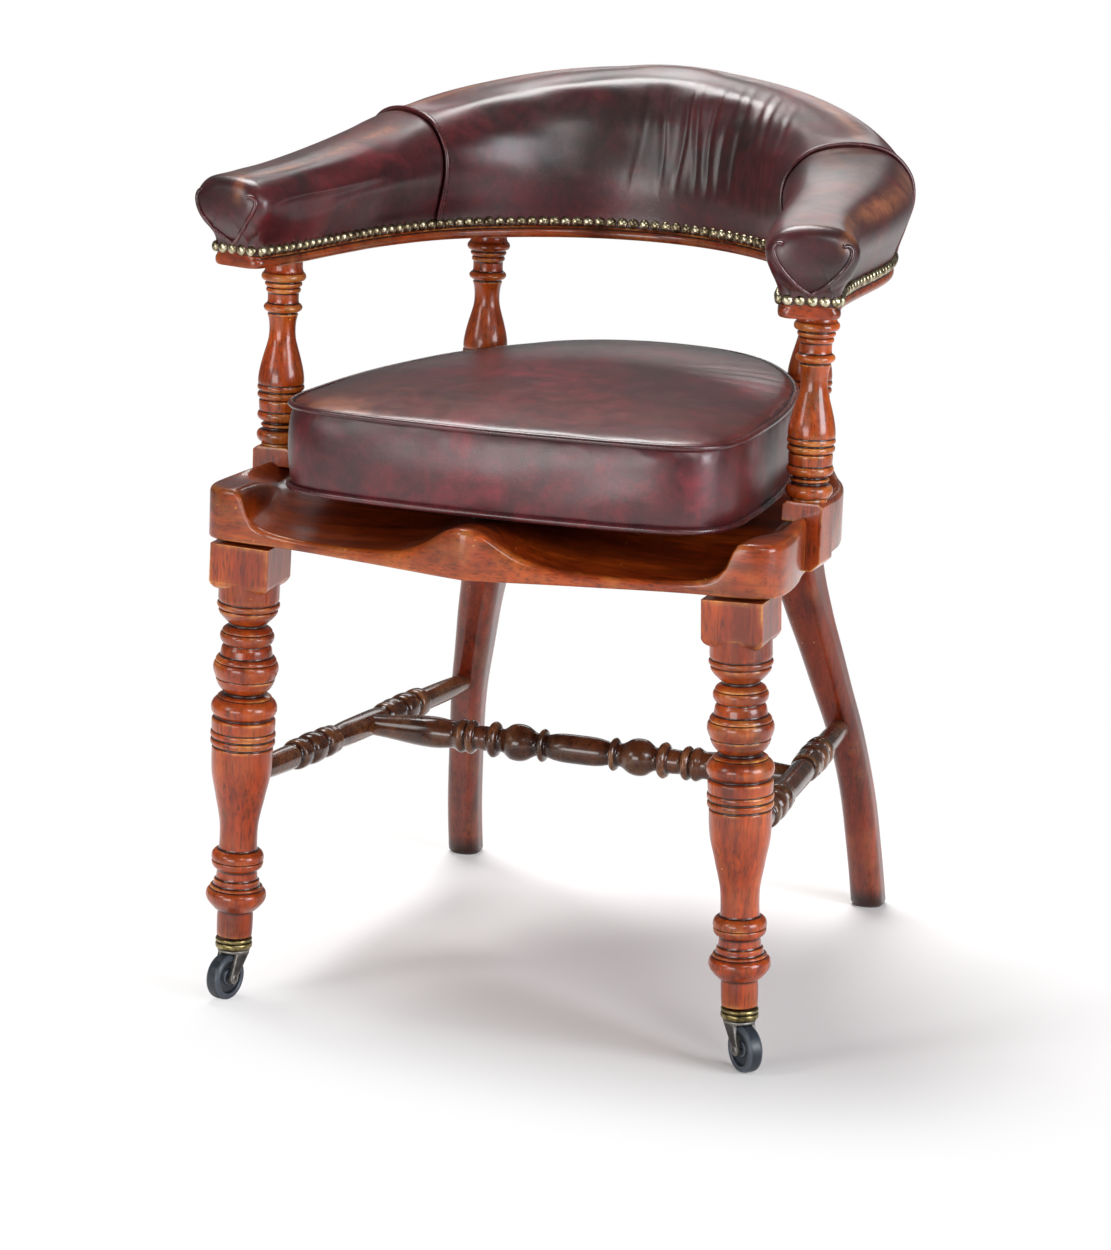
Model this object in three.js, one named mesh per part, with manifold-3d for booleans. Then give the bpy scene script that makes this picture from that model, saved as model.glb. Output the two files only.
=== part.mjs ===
import * as THREE from 'three';
import { mergeVertices } from 'three/addons/utils/BufferGeometryUtils.js';
import Module from 'manifold-3d';

const wasm = await Module();
wasm.setup();

// Victorian captain's chair in millimetres: X across (right arm on +X), Y from front to back, Z up.
// The seat, the spindles and the upholstered bow lean back together; the legs stand on the floor.

// Stance
const leanDegrees = 1.8;
const planShift = 26;
const gap = 0.3;
const cutOverrun = 40;

// Seat: its underside and its top lie at these heights along the leaning frame
const seatBottom = 383;
const seatHalfWidth = 243;
const seatFront = 315;
const seatBack = 207;
const seatCentre = 50;
const earThickness = 43;
const rimThickness = 47;
const dishThickness = 31;
const pommelThickness = 41;
const scoopReach = 170;
const edgeRound = 3;

// Front legs, set in from the seat's edges
const legInset = 22.1;
const legHalfSpan = seatHalfWidth - legInset;
const legSetback = 85;
const legFront = seatFront - legSetback;
const legSplayDegrees = 1.88;
const legStart = 50;
const legBlockHeight = 33;
const legTurnHeight = seatBottom - legBlockHeight - legStart;
const legRadius = 27;
const legBlock = 50.7;
const legBlockRound = 7;
const legTenonRadius = 12;
const legTenonLength = 9;
const footRadius = 13;

// Rear legs
const rearFootInset = 52;
const rearFootSpread = seatHalfWidth - rearFootInset;
const rearFootReach = 30;
const rearFootBack = seatBack + rearFootReach;
const rearSpreadShare = 0.605;
const rearTopInset = 10;
const rearTopSpread = rearSpreadShare * seatHalfWidth - rearTopInset;
const rearTopSetback = 79;
const rearTopBack = seatBack - rearTopSetback;
const rearLegOverlap = 7;
const rearLegHeight = seatBottom + rearLegOverlap;
const rearLegTop = 38;
const rearLegFoot = 29;
const rearLegChamfer = 4;
const rearFootRound = 4;
const rearTenonRadius = 11;
const rearTenonLength = 17;

// Stretchers
const stretcherHeight = 180;
const sideRadius = 13;
const sideTenonRadius = 7.5;
const sideTenonFront = 10;
const sideTenonRear = 6;
const crossRadius = 16;
const crossTenonRadius = 5;
const crossTenonDepth = 5;

// Spindles
const spindleInset = 14.5;
const spindleHalfSpan = seatHalfWidth - spindleInset;
const spindleSetback = 175.5;
const spindleFront = seatFront - spindleSetback;
const spindleRadius = 19.5;
const blockRise = 57;
const spindleStart = seatBottom + blockRise;
const spindleBlock = 33.6;
const blockLap = 54;
const blockRound = 5;
const lapDepth = 14;
const lapFace = seatHalfWidth - lapDepth;
const rearSpindleSpread = rearSpreadShare * seatHalfWidth;
const rearSpindleSetback = 85;
const rearSpindleBack = seatBack - rearSpindleSetback;
const rearSpindleSwell = 0.6;
const rearSpindleSink = 0.5;
const rearSpindleFoot = seatBottom + dishThickness - rearSpindleSink;
const spindleTenonRadius = 8;
const spindleTenonLength = 11;

// Bow rail
const armRise = 214;
const railBottom = seatBottom + armRise;
const railEdge = 10;
const railTongue = 9;
const leatherInset = 3;
const bowOverhang = 24;
const bowHalfWidth = seatHalfWidth + bowOverhang;
const bowSetback = 103;
const bowFront = seatFront - bowSetback;
const bowReach = 10;
const bowBackOuter = seatBack + bowReach;
const bowDepth = 99;
const bowBackInner = bowBackOuter - bowDepth;
const railRound = 3;
const dowelRadius = 4;
const dowelLength = 44;

// Upholstered roll
const skirtHeight = 9.5;
const armPadHeight = 61;
const backPadHeight = 137;
const coreShare = 0.6;
const seamGap = 0.7;
const pipingRadius = 2.2;
const noseLength = 15;
const nailRadius = 4.3;
const nailRise = 2.6;
const nailPitch = 9.7;
const stripWidth = 3;
const stripThickness = 1;

// Cushion
const cushionInset = 55;
const cushionHalfWidth = seatHalfWidth - cushionInset;
const cushionSetback = 26;
const cushionFront = seatFront - cushionSetback;
const cushionBackInset = 19;
const cushionBack = seatBack - cushionBackInset;
const cushionRest = 18;
const cushionBottom = seatBottom + dishThickness + cushionRest;
const cushionBoxing = 66;
const cushionCrown = 16;
const cushionSag = cushionRest - gap;
const cushionDraw = 3;
const cushionPipingRadius = 2.6;
const cushionDrift = 8;

// Castors
const wheelRadius = 19;
const wheelWidth = 13;
const rivetRadius = 2;
const axlePlay = 0.4;
const wheelBore = rivetRadius + axlePlay;
const rivetHead = 3.6;
const rivetHeadHeight = 1.4;
const castorTrail = 11;
const hornPlate = 3;
const hornRadius = 13.4;
const hornArm = 2.8;
const hornArmEnd = 5;
const hornPlay = 0.8;
const pintleRadius = 4;
const pintleLength = 24;
const ringWall = 2.1;
const ringRadius = footRadius + ringWall;
const ringHeight = 9;
const ringFloor = 2;
const turningPlay = 0.5;
const leftCastorDegrees = -14.5;
const rightCastorDegrees = 47.5;

// Facets
const legSides = 12;
const spindleSides = 10;
const stretcherSides = 8;
const pinSides = 10;
const wheelSides = 14;

// Outlines as shares of the sizes above

// seat plan from the middle of the front edge to the middle of the back: x of the half width,
// y of the front reach while it is negative and of the back reach while it is positive
const seatShares = [
  [0, -1], [0.075, -0.987], [0.165, -0.968], [0.31, -0.937], [0.45, -0.91], [0.605, -0.88],
  [0.74, -0.86], [0.86, -0.852], [0.94, -0.84], [0.978, -0.82], [0.996, -0.79], [1, -0.72],
  [0.985, -0.61], [0.96, -0.51], [0.948, -0.41], [0.942, -0.3], [0.938, -0.2], [0.926, -0.1],
  [0.89, 0.01], [0.832, 0.165], [0.782, 0.31], [0.741, 0.445], [0.704, 0.58], [0.667, 0.705],
  [0.617, 0.81], [0.535, 0.9], [0.41, 0.957], [0.25, 0.99], [0.1, 1], [0, 1],
];

// height of the front edge over the scoops: x of the half width against the share of the pommel
const frontEdgeShares = [
  [0, 1], [0.03, 0.98], [0.08, 0.86], [0.18, 0.47], [0.31, 0.3], [0.44, 0.23], [0.6, 0.21],
  [0.73, 0.26], [0.81, 0.38], [0.85, 0.66], [0.875, 1], [1, 1.05],
];

// turned front leg: height share, radius share
const legShares = [
  [0.082, 0.55], [0.09, 0.77], [0.122, 0.93], [0.147, 0.86], [0.155, 0.7],
  [0.168, 0.7], [0.187, 0.62], [0.203, 0.62], [0.208, 0.74], [0.233, 0.79], [0.253, 0.74],
  [0.26, 0.585], [0.313, 0.58], [0.368, 0.66], [0.425, 0.79], [0.48, 0.9], [0.54, 0.93],
  [0.552, 0.915], [0.566, 0.98], [0.582, 0.95], [0.608, 1], [0.63, 0.88],
  [0.655, 1], [0.68, 0.94], [0.7, 0.6], [0.742, 0.86], [0.778, 0.99],
  [0.805, 0.9], [0.84, 0.7], [0.865, 0.81], [0.895, 0.54],
  [0.925, 0.83], [0.945, 0.915], [0.962, 0.85], [0.972, 0.91],
];

// turned spindle from its square block to the rail: height share, radius share
const spindleShares = [
  [0.02, 0.77], [0.061, 0.965], [0.095, 0.86], [0.115, 0.64], [0.166, 0.96],
  [0.223, 0.91], [0.274, 0.985], [0.293, 0.93], [0.312, 1], [0.382, 0.955], [0.437, 0.87],
  [0.49, 0.76], [0.55, 0.62], [0.6, 0.555], [0.667, 0.555], [0.705, 0.66], [0.737, 0.81],
  [0.768, 0.67], [0.839, 0.69], [0.898, 0.925], [0.92, 0.87], [0.943, 0.65],
];

// sabre curve of the rear leg: height share, how far it has come in, how far it has come forward
const sabreShares = [
  [0, 0, 0], [0.07, 0.02, 0.06], [0.14, 0.05, 0.12], [0.27, 0.13, 0.22], [0.42, 0.28, 0.385],
  [0.54, 0.47, 0.53], [0.64, 0.63, 0.65], [0.72, 0.77, 0.74], [0.84, 0.92, 0.88], [1, 1, 1],
];

// side stretcher between its two groups of rings: length share, radius share
const sideShares = [
  [0.07, 0.66], [0.13, 0.74], [0.19, 0.8], [0.205, 0.7], [0.22, 0.98], [0.245, 0.98], [0.26, 0.72],
  [0.275, 1], [0.305, 1], [0.32, 0.72], [0.335, 0.98], [0.375, 0.94], [0.39, 0.76], [0.43, 0.82],
  [0.5, 0.84], [0.57, 0.82], [0.59, 0.74], [0.605, 0.94], [0.645, 0.98], [0.66, 0.72], [0.675, 1],
  [0.705, 1], [0.72, 0.72], [0.735, 0.98], [0.765, 0.94], [0.78, 0.76], [0.87, 0.72], [0.94, 0.66],
];

// half of the cross stretcher from its middle outwards: length share, radius share
const crossShares = [
  [0.07, 0.77], [0.13, 0.64], [0.15, 0.6], [0.158, 0.88], [0.175, 0.88], [0.185, 0.64],
  [0.215, 0.7], [0.25, 0.94], [0.28, 1], [0.31, 0.94], [0.35, 0.64],
  [0.385, 0.94], [0.405, 0.96], [0.42, 0.67], [0.485, 0.66], [0.495, 0.9], [0.515, 0.9],
  [0.525, 0.76], [0.545, 0.9], [0.58, 0.74], [0.66, 0.84], [0.78, 0.78], [0.94, 0.56],
];

// bow in plan, front end to the middle of the back: inner x of the half width, inner y of the
// front or back reach, then the same for the outer edge
const bowShares = [
  [0.822, -1, 1, -1], [0.805, -0.94, 0.978, -0.92], [0.787, -0.873, 0.966, -0.849],
  [0.76, -0.731, 0.94, -0.684], [0.738, -0.557, 0.929, -0.495], [0.715, -0.401, 0.925, -0.307],
  [0.689, -0.245, 0.921, -0.118], [0.652, -0.104, 0.91, 0.065], [0.607, 0.068, 0.884, 0.23],
  [0.543, 0.314, 0.835, 0.406], [0.464, 0.517, 0.76, 0.562], [0.367, 0.703, 0.648, 0.714],
  [0.251, 0.864, 0.498, 0.848], [0.127, 0.966, 0.255, 0.968], [0, 1, 0, 1],
];
const roundingShares = [[0.78, 0], [0.94, 0.05], [1, 0.16]];
// place of the seams between arm and back along the bow's stations
const seamShare = 0.6;
// the wedge on the arm's front: its width of the arm's rail, its height of the arm's roll
const panelWidthShare = 1.26;
const panelHeightShare = 0.56;

// how far each station of the bow has changed from the arm's section to the back's, and how far
// the roll has risen from the height of the arm to the height of the back
const changeShares = [0, 0, 0, 0, 0.02, 0.06, 0.13, 0.24, 0.38, 0.55, 0.72, 0.86, 0.94, 0.98, 1];
const riseShares = [
  0.05, 0.07, 0.09, 0.12, 0.15, 0.19, 0.24, 0.31, 0.41, 0.53, 0.66, 0.78, 0.88, 0.96, 1,
];

// roll section over its skirt: across from the inner to the outer edge, up to the crest
const armSectionShares = [
  [-0.1, 0.22], [-0.23, 0.5], [-0.22, 0.7], [0, 0.92], [0.5, 1], [1, 0.92], [1.22, 0.7],
  [1.23, 0.5], [1.1, 0.22],
];
const backSectionShares = [
  [-0.01, 0.22], [0.04, 0.46], [0.13, 0.7], [0.31, 0.92], [0.53, 1], [0.76, 0.94], [0.95, 0.74],
  [1.03, 0.48], [1.03, 0.22],
];

// front of an arm's roll: how far it stands out over the skirt and how much of the section is left
const noseShares = [
  [-0.55, 1, 1], [0, 1, 1], [0.01, 1, 0.96], [0.3, 0.97, 0.8], [0.62, 0.87, 0.62],
  [0.88, 0.68, 0.44], [1, 0.42, 0.26],
];
const noseMiddleShare = 0.58;
const wedgeStepShares = [
  [-0.97, 0.97], [-0.8, 0.8], [-0.6, 0.6], [-0.4, 0.4], [-0.2, 0.2], [0, 0.02],
  [0.2, 0.2], [0.4, 0.4], [0.6, 0.6], [0.8, 0.8], [0.97, 0.97],
];

// cushion plan: x of the half width, y of the front or back reach
const cushionShares = [
  [0, -1], [0.32, -0.993], [0.6, -0.978], [0.8, -0.956], [0.91, -0.92], [0.975, -0.86],
  [1, -0.77], [0.998, -0.62], [0.982, -0.42], [0.945, -0.22], [0.895, -0.06], [0.83, 0.16],
  [0.74, 0.38], [0.62, 0.6], [0.48, 0.79], [0.31, 0.93], [0.14, 0.99], [0, 1],
];

const rad = THREE.MathUtils.degToRad;
const lerp = THREE.MathUtils.lerp;
const smooth = (value) => THREE.MathUtils.smoothstep(value, 0, 1);

// Solids

function facetedSolid(geometry) {
  const bare = geometry.clone();
  bare.deleteAttribute('normal');
  bare.deleteAttribute('uv');
  const merged = mergeVertices(bare);
  return new wasm.Manifold(new wasm.Mesh({
    numProp: 3,
    vertProperties: new Float32Array(merged.attributes.position.array),
    triVerts: new Uint32Array(merged.index.array),
  }));
}

function geometryFrom(solid) {
  const mesh = solid.getMesh();
  const geometry = new THREE.BufferGeometry();
  geometry.setAttribute('position', new THREE.BufferAttribute(new Float32Array(mesh.vertProperties), 3));
  geometry.setIndex(new THREE.BufferAttribute(new Uint32Array(mesh.triVerts), 1));
  geometry.computeVertexNormals();
  return geometry;
}

function joined(...geometries) {
  return geometryFrom(geometries.map(facetedSolid).reduce((whole, next) => whole.add(next)));
}

function cut(geometry, ...cutters) {
  const solids = cutters.map(facetedSolid);
  return geometryFrom(solids.reduce((rest, next) => rest.subtract(next), facetedSolid(geometry)));
}

// moves a geometry from the space of one object into the space of another
function moved(geometry, from, to) {
  from.updateWorldMatrix(true, false);
  to.updateWorldMatrix(true, false);
  return geometry.clone().applyMatrix4(to.matrixWorld.clone().invert().multiply(from.matrixWorld));
}

function signedVolume(geometry) {
  const point = geometry.attributes.position;
  const index = geometry.index;
  const corners = [new THREE.Vector3(), new THREE.Vector3(), new THREE.Vector3()];
  let volume = 0;
  for (let i = 0; i < index.count; i += 3) {
    corners.forEach((corner, k) => corner.fromBufferAttribute(point, index.getX(i + k)));
    volume += corners[0].dot(corners[1].clone().cross(corners[2]));
  }
  return volume;
}

function closedGeometry(points, faces) {
  const geometry = new THREE.BufferGeometry().setFromPoints(points);
  geometry.setIndex(faces);
  if (signedVolume(geometry) < 0) {
    geometry.setIndex(faces.flatMap((_, i) => (i % 3 ? [] : [faces[i], faces[i + 2], faces[i + 1]])));
  }
  geometry.computeVertexNormals();
  return geometry;
}

// triangles of a flat outline, wound the way the outline runs
function capFaces(outline) {
  const turn = Math.sign(THREE.ShapeUtils.area(outline));
  return THREE.ShapeUtils.triangulateShape(outline, []).map(([a, b, c]) => {
    const own = Math.sign(THREE.ShapeUtils.area([outline[a], outline[b], outline[c]]));
    return own === turn ? [a, b, c] : [a, c, b];
  });
}

// skin over rings of equal count; the ends are closed with flat caps unless the rings form a loop
function lofted(rings, flatEnds = null) {
  const count = rings[0].length;
  const points = rings.flat();
  const faces = [];
  const spans = flatEnds ? rings.length - 1 : rings.length;
  for (let i = 0; i < spans; i += 1) {
    const here = i * count;
    const next = ((i + 1) % rings.length) * count;
    for (let k = 0; k < count; k += 1) {
      const l = (k + 1) % count;
      faces.push(here + k, here + l, next + l, here + k, next + l, next + k);
    }
  }
  if (flatEnds) {
    const last = (rings.length - 1) * count;
    capFaces(flatEnds[0]).forEach(([a, b, c]) => faces.push(a, c, b));
    capFaces(flatEnds[1]).forEach(([a, b, c]) => faces.push(last + a, last + b, last + c));
  }
  return closedGeometry(points, faces);
}

// closed skin over rings that run from a lowest middle point to a highest one
function domed(bottomPoint, rings, topPoint) {
  const count = rings[0].length;
  const points = [...rings.flat(), bottomPoint, topPoint];
  const faces = [];
  for (let k = 0; k < count; k += 1) {
    const l = (k + 1) % count;
    for (let i = 0; i + 1 < rings.length; i += 1) {
      const here = i * count;
      const next = here + count;
      faces.push(here + k, here + l, next + l, here + k, next + l, next + k);
    }
    const last = (rings.length - 1) * count;
    faces.push(rings.length * count, l, k);
    faces.push(rings.length * count + 1, last + k, last + l);
  }
  return closedGeometry(points, faces);
}

// turned solid about Z from [height, radius] pairs, closed on its axis
function turned(profile, sides) {
  const points = [
    new THREE.Vector2(0, profile[0][0]),
    ...profile.map(([height, radius]) => new THREE.Vector2(radius, height)),
    new THREE.Vector2(0, profile[profile.length - 1][0]),
  ];
  return outward(new THREE.LatheGeometry(points, sides).rotateX(Math.PI / 2));
}

// turned ring about Z from a profile of [height, radius] pairs that closes on itself
function turnedRing(profile, sides) {
  const points = [...profile, profile[0]].map(([height, radius]) => new THREE.Vector2(radius, height));
  return outward(new THREE.LatheGeometry(points, sides).rotateX(Math.PI / 2));
}

function outward(geometry) {
  const bare = geometry.clone();
  bare.deleteAttribute('normal');
  bare.deleteAttribute('uv');
  const merged = mergeVertices(bare);
  const position = merged.attributes.position;
  const faces = [];
  for (let i = 0; i < merged.index.count; i += 3) {
    const [a, b, c] = [0, 1, 2].map((k) => merged.index.getX(i + k));
    if (a !== b && b !== c && c !== a) faces.push(a, b, c);
  }
  const points = [];
  for (let i = 0; i < position.count; i += 1) {
    points.push(new THREE.Vector3().fromBufferAttribute(position, i));
  }
  return closedGeometry(points, faces);
}

function pin(radius, from, to, sides = pinSides) {
  return turned([[from, radius], [to, radius]], sides);
}

// tube of even radius round a path of points; an open tube has flat ends
function tube(path, radius, sides, loop) {
  const last = path.length - 1;
  const up = new THREE.Vector3(0, 0, 1);
  const rings = path.map((point, i) => {
    const before = path[loop ? (i + last) % path.length : Math.max(i - 1, 0)];
    const after = path[loop ? (i + 1) % path.length : Math.min(i + 1, last)];
    const along = after.clone().sub(before).normalize();
    const level = Math.abs(along.dot(up)) > 0.95 || !loop;
    const side = level ? tubeSide(path, along) : along.clone().cross(up).normalize();
    const other = side.clone().cross(along);
    return Array.from({ length: sides }, (_, k) => {
      const angle = 2 * Math.PI * (k + 0.5) / sides;
      const out = side.clone().multiplyScalar(Math.cos(angle)).addScaledVector(other, Math.sin(angle));
      return point.clone().addScaledVector(out, radius);
    });
  });
  if (loop) return lofted(rings);
  const flat = Array.from({ length: sides }, (_, k) => {
    const angle = 2 * Math.PI * k / sides;
    return new THREE.Vector2(Math.cos(angle), Math.sin(angle));
  });
  return lofted(rings, [flat, flat]);
}

// an open tube lies in the plane of its path: its side is that plane's normal
function tubeSide(path, along) {
  const middle = path[Math.floor(path.length / 2)];
  const normal = middle.clone().sub(path[0]).cross(path[path.length - 1].clone().sub(path[0]));
  return normal.sub(along.clone().multiplyScalar(normal.dot(along))).normalize();
}

function interpolate(table, value) {
  const next = table.findIndex(([key]) => key >= value);
  if (next <= 0) return table[next === 0 ? 0 : table.length - 1][1];
  const [a, b] = [table[next - 1], table[next]];
  return lerp(a[1], b[1], (value - a[0]) / (b[0] - a[0]));
}

// Materials

function finish(color, roughness, metalness = 0) {
  return () => new THREE.MeshStandardMaterial({ color, roughness, metalness });
}
const mahogany = finish(0x8c3a1c, 0.3);
const darkMahogany = finish(0x3f1c13, 0.32);
const innerWood = finish(0xb08a5c, 0.7);
const leather = finish(0x4c1a1f, 0.34);
const leatherPiping = finish(0x3c1418, 0.4);
const antiqueBrass = finish(0x7c6536, 0.36, 0.95);
const oldBrass = finish(0x796a3c, 0.45, 0.9);
const darkIron = finish(0x33302d, 0.55, 0.8);
const wheelBlack = finish(0x15181c, 0.4);

function piece(parent, name, geometry, material) {
  const mesh = new THREE.Mesh(geometry, material());
  mesh.name = name;
  parent.add(mesh);
  return mesh;
}

// Groups

const chair = new THREE.Group();
const stance = new THREE.Group();
stance.position.y = planShift;
chair.add(stance);
const frame = new THREE.Group();
frame.rotation.x = -rad(leanDegrees);
stance.add(frame);
const sides = [['left', -1], ['right', 1]];

// place of a point of the leaning frame in the upright stance
function upright(x, y, z) {
  return new THREE.Vector3(x, y, z).applyEuler(frame.rotation);
}

// Seat

function planPoint([x, y], halfWidth, front, back) {
  return [x * halfWidth, y * (y < 0 ? front : back)];
}

function mirroredPlan(shares, halfWidth, front, back) {
  const half = shares.map((share) => planPoint(share, halfWidth, front, back));
  const other = half.slice(1, -1).reverse().map(([x, y]) => [-x, y]);
  return [...half, ...other];
}

const seatPlan = mirroredPlan(seatShares, seatHalfWidth, seatFront, seatBack);

// seat top: a shallow dish inside a raised rim, scooped for the thighs on both sides of the pommel
function seatTop(x, y, reach) {
  const across = Math.abs(x) / seatHalfWidth;
  const ear = smooth((across - 0.83) / 0.05);
  const rim = smooth((reach - 0.87) / 0.13);
  const back = lerp(dishThickness, rimThickness, rim);
  const front = interpolate(frontEdgeShares, across) * pommelThickness;
  const scoop = Math.min(front, pommelThickness);
  const scoopRun = scoopReach - (seatFront - Math.abs(frontOf(x)));
  const forward = smooth((scoopReach - seatFront - y) / scoopRun);
  const open = lerp(back, scoop, forward);
  const side = lerp(earThickness, rimThickness, rim * smooth((y + spindleFront) / scoopReach));
  return seatBottom + lerp(open, side, ear * forward);
}

// how far a place lies out from the seat's centre, as a share of the way to the seat's outline
function seatReach(x, y) {
  const ray = new THREE.Vector2(x, y + seatCentre);
  const reaches = seatPlan.map(([ax, ay], i) => {
    const [bx, by] = seatPlan[(i + 1) % seatPlan.length];
    const a = new THREE.Vector2(ax, ay + seatCentre);
    const edge = new THREE.Vector2(bx - ax, by - ay);
    const turn = ray.cross(edge);
    const across = a.cross(edge) / turn;
    const place = a.cross(ray) / turn;
    return place >= 0 && place <= 1 && across > 0 ? 1 / across : 0;
  });
  return Math.max(...reaches);
}

// front edge of the seat at a place across it
function frontOf(x) {
  const half = seatPlan.slice(0, 12).map(([px, py]) => [px, py]);
  return interpolate(half, Math.min(Math.abs(x), half[half.length - 2][0]));
}

function seatRing(reach, height) {
  return seatPlan.map(([x, y]) => {
    const px = x * reach;
    const py = (y + seatCentre) * reach - seatCentre;
    return new THREE.Vector3(px, py, height(px, py, reach));
  });
}

function seatGeometry() {
  const inset = 1 - edgeRound / seatHalfWidth;
  const top = (x, y, reach) => seatTop(x, y, reach);
  const rings = [
    seatRing(inset, () => seatBottom),
    seatRing(1, () => seatBottom + edgeRound),
    seatRing(1, (x, y) => seatTop(x, y, 1) - edgeRound),
    seatRing(inset, top),
    ...[0.94, 0.87, 0.77, 0.58, 0.3].map((reach) => seatRing(reach, top)),
  ];
  const low = new THREE.Vector3(0, -seatCentre, seatBottom);
  const high = new THREE.Vector3(0, -seatCentre, seatTop(0, -seatCentre, 0));
  return domed(low, rings, high);
}

// Front legs

function legGroup(side) {
  const group = new THREE.Group();
  group.position.set(side * legHalfSpan, -legFront, 0);
  group.rotation.y = -side * rad(legSplayDegrees);
  stance.add(group);
  return group;
}

const ringBottom = 2 * wheelRadius + hornPlate + 2 * turningPlay;
const legFoot = ringBottom + ringFloor + 3 * gap;

function legTurning() {
  const shoulder = ringBottom + ringHeight + 3 * gap;
  const profile = [
    [legFoot, footRadius],
    [shoulder, footRadius],
    [shoulder, legShares[0][1] * legRadius],
    ...legShares.map(([height, radius]) => [legStart + height * legTurnHeight, radius * legRadius]),
    [legStart + legTurnHeight + legBlockRound, legShares[legShares.length - 1][1] * legRadius],
  ];
  return turned(profile, legSides);
}

// square top block with its lower corners rounded over, and the tenon over it
function legBlockGeometry() {
  const half = legBlock / 2;
  const low = half - legBlockRound;
  const from = legStart + legTurnHeight;
  const to = seatBottom + cutOverrun;
  const levels = [
    [from, low], [from + legBlockRound * 0.3, lerp(low, half, 0.7)], [from + legBlockRound, half], [to, half],
  ];
  const square = [[-1, -1], [1, -1], [1, 1], [-1, 1]];
  const rings = levels.map(([z, h]) => square.map(([x, y]) => new THREE.Vector3(x * h, y * h, z)));
  const flat = square.map(([x, y]) => new THREE.Vector2(x, y));
  return lofted(rings, [flat, flat]);
}

// everything over the seat's underside, to cut the leg tops level with it
function overSeat(clearance) {
  const width = 2 * (seatHalfWidth + cutOverrun);
  const box = new THREE.BoxGeometry(width, 2 * (seatFront + cutOverrun), 3 * cutOverrun);
  return box.translate(0, 0, seatBottom - clearance + 1.5 * cutOverrun);
}

// Rear legs

function sabreCentre(height, side) {
  const inward = interpolate(sabreShares, height / rearLegHeight);
  const forward = interpolate(sabreShares.map(([share, , y]) => [share, y]), height / rearLegHeight);
  const x = side * lerp(rearFootSpread, rearTopSpread, inward);
  return new THREE.Vector3(x, lerp(rearFootBack, rearTopBack, forward), height);
}

function rearLegGeometry(side) {
  const steps = sabreShares.slice(1).map(([share]) => share * rearLegHeight);
  const heights = [0, rearFootRound, ...steps, rearLegHeight + cutOverrun];
  const rings = heights.map((height, i) => {
    const centre = sabreCentre(Math.min(height, rearLegHeight), side);
    const grown = lerp(rearLegFoot, rearLegTop, smooth((height / rearLegHeight - 0.3) / 0.6));
    const half = grown / 2 - (i === 0 ? rearFootRound / 2 : 0);
    const inner = half - rearLegChamfer;
    const corners = [
      [-inner, -half], [inner, -half], [half, -inner], [half, inner],
      [inner, half], [-inner, half], [-half, inner], [-half, -inner],
    ];
    return corners.map(([x, y]) => new THREE.Vector3(centre.x + x, centre.y + y, height));
  });
  const flat = rings[0].map(({ x, y }) => new THREE.Vector2(x, y));
  return lofted(rings, [flat, flat]);
}

// Stretchers

const sideStretcherFront = (side) => {
  const fall = legFront * Math.sin(rad(leanDegrees));
  const height = stretcherHeight + fall;
  return new THREE.Vector3(side * (legHalfSpan - height * Math.tan(rad(legSplayDegrees))), -legFront, height);
};
const sideStretcherRear = (side) => {
  const guess = sabreCentre(stretcherHeight, side);
  const height = stretcherHeight - guess.y * Math.sin(rad(leanDegrees));
  return sabreCentre(height, side);
};

// group whose Z runs from one point to another
function along(from, to) {
  const group = new THREE.Group();
  group.position.copy(from);
  group.quaternion.setFromUnitVectors(new THREE.Vector3(0, 0, 1), to.clone().sub(from).normalize());
  stance.add(group);
  return group;
}

function sideStretcherGeometry(length) {
  const profile = sideShares.map(([place, radius]) => [place * length, radius * sideRadius]);
  const front = profile[0][0];
  const rear = profile[profile.length - 1][0];
  return turned([
    [sideTenonFront, sideTenonRadius],
    [front, sideTenonRadius],
    ...profile,
    [rear, sideTenonRadius],
    [length - sideTenonRear, sideTenonRadius],
  ], stretcherSides);
}

function crossStretcherGeometry(length) {
  const half = crossShares.map(([place, radius]) => [place * length / 2, radius * crossRadius]);
  const end = length / 2 - sideRadius + crossTenonDepth;
  const shoulder = half[half.length - 1][0];
  return turned([
    [-end, crossTenonRadius],
    [-shoulder, crossTenonRadius],
    ...half.slice().reverse().map(([place, radius]) => [-place, radius]),
    ...half,
    [shoulder, crossTenonRadius],
    [end, crossTenonRadius],
  ], stretcherSides);
}

// Spindles

const spindleHeight = railBottom - gap - spindleStart;

function spindleTurning(swell, bottom) {
  const outline = spindleShares.map(([height, radius]) => [
    spindleStart + height * spindleHeight, radius * spindleRadius + swell,
  ]);
  return turned([
    ...bottom,
    ...outline,
    [railBottom - gap, outline[outline.length - 1][1]],
    [railBottom - gap, spindleTenonRadius],
    [railBottom + spindleTenonLength, spindleTenonRadius],
  ], spindleSides);
}

// notched square block: half of it stands on the seat's ear, half laps down over the seat's side
function blockGeometry(side) {
  const half = spindleBlock / 2;
  const face = lapFace + gap - spindleHalfSpan;
  const step = seatBottom + earThickness + gap;
  const low = spindleStart - blockLap;
  const outline = [
    [-half, step], [face, step], [face, low], [half - blockRound, low], [half, low + blockRound],
    [half, spindleStart], [-half, spindleStart],
  ];
  const shape = new THREE.Shape(outline.map(([x, z]) => new THREE.Vector2(x, z)));
  const block = new THREE.ExtrudeGeometry(shape, { depth: spindleBlock, bevelEnabled: false });
  block.rotateX(Math.PI / 2);
  block.translate(0, half, 0);
  return side > 0 ? outward(block) : outward(block.scale(-1, 1, 1));
}

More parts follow.
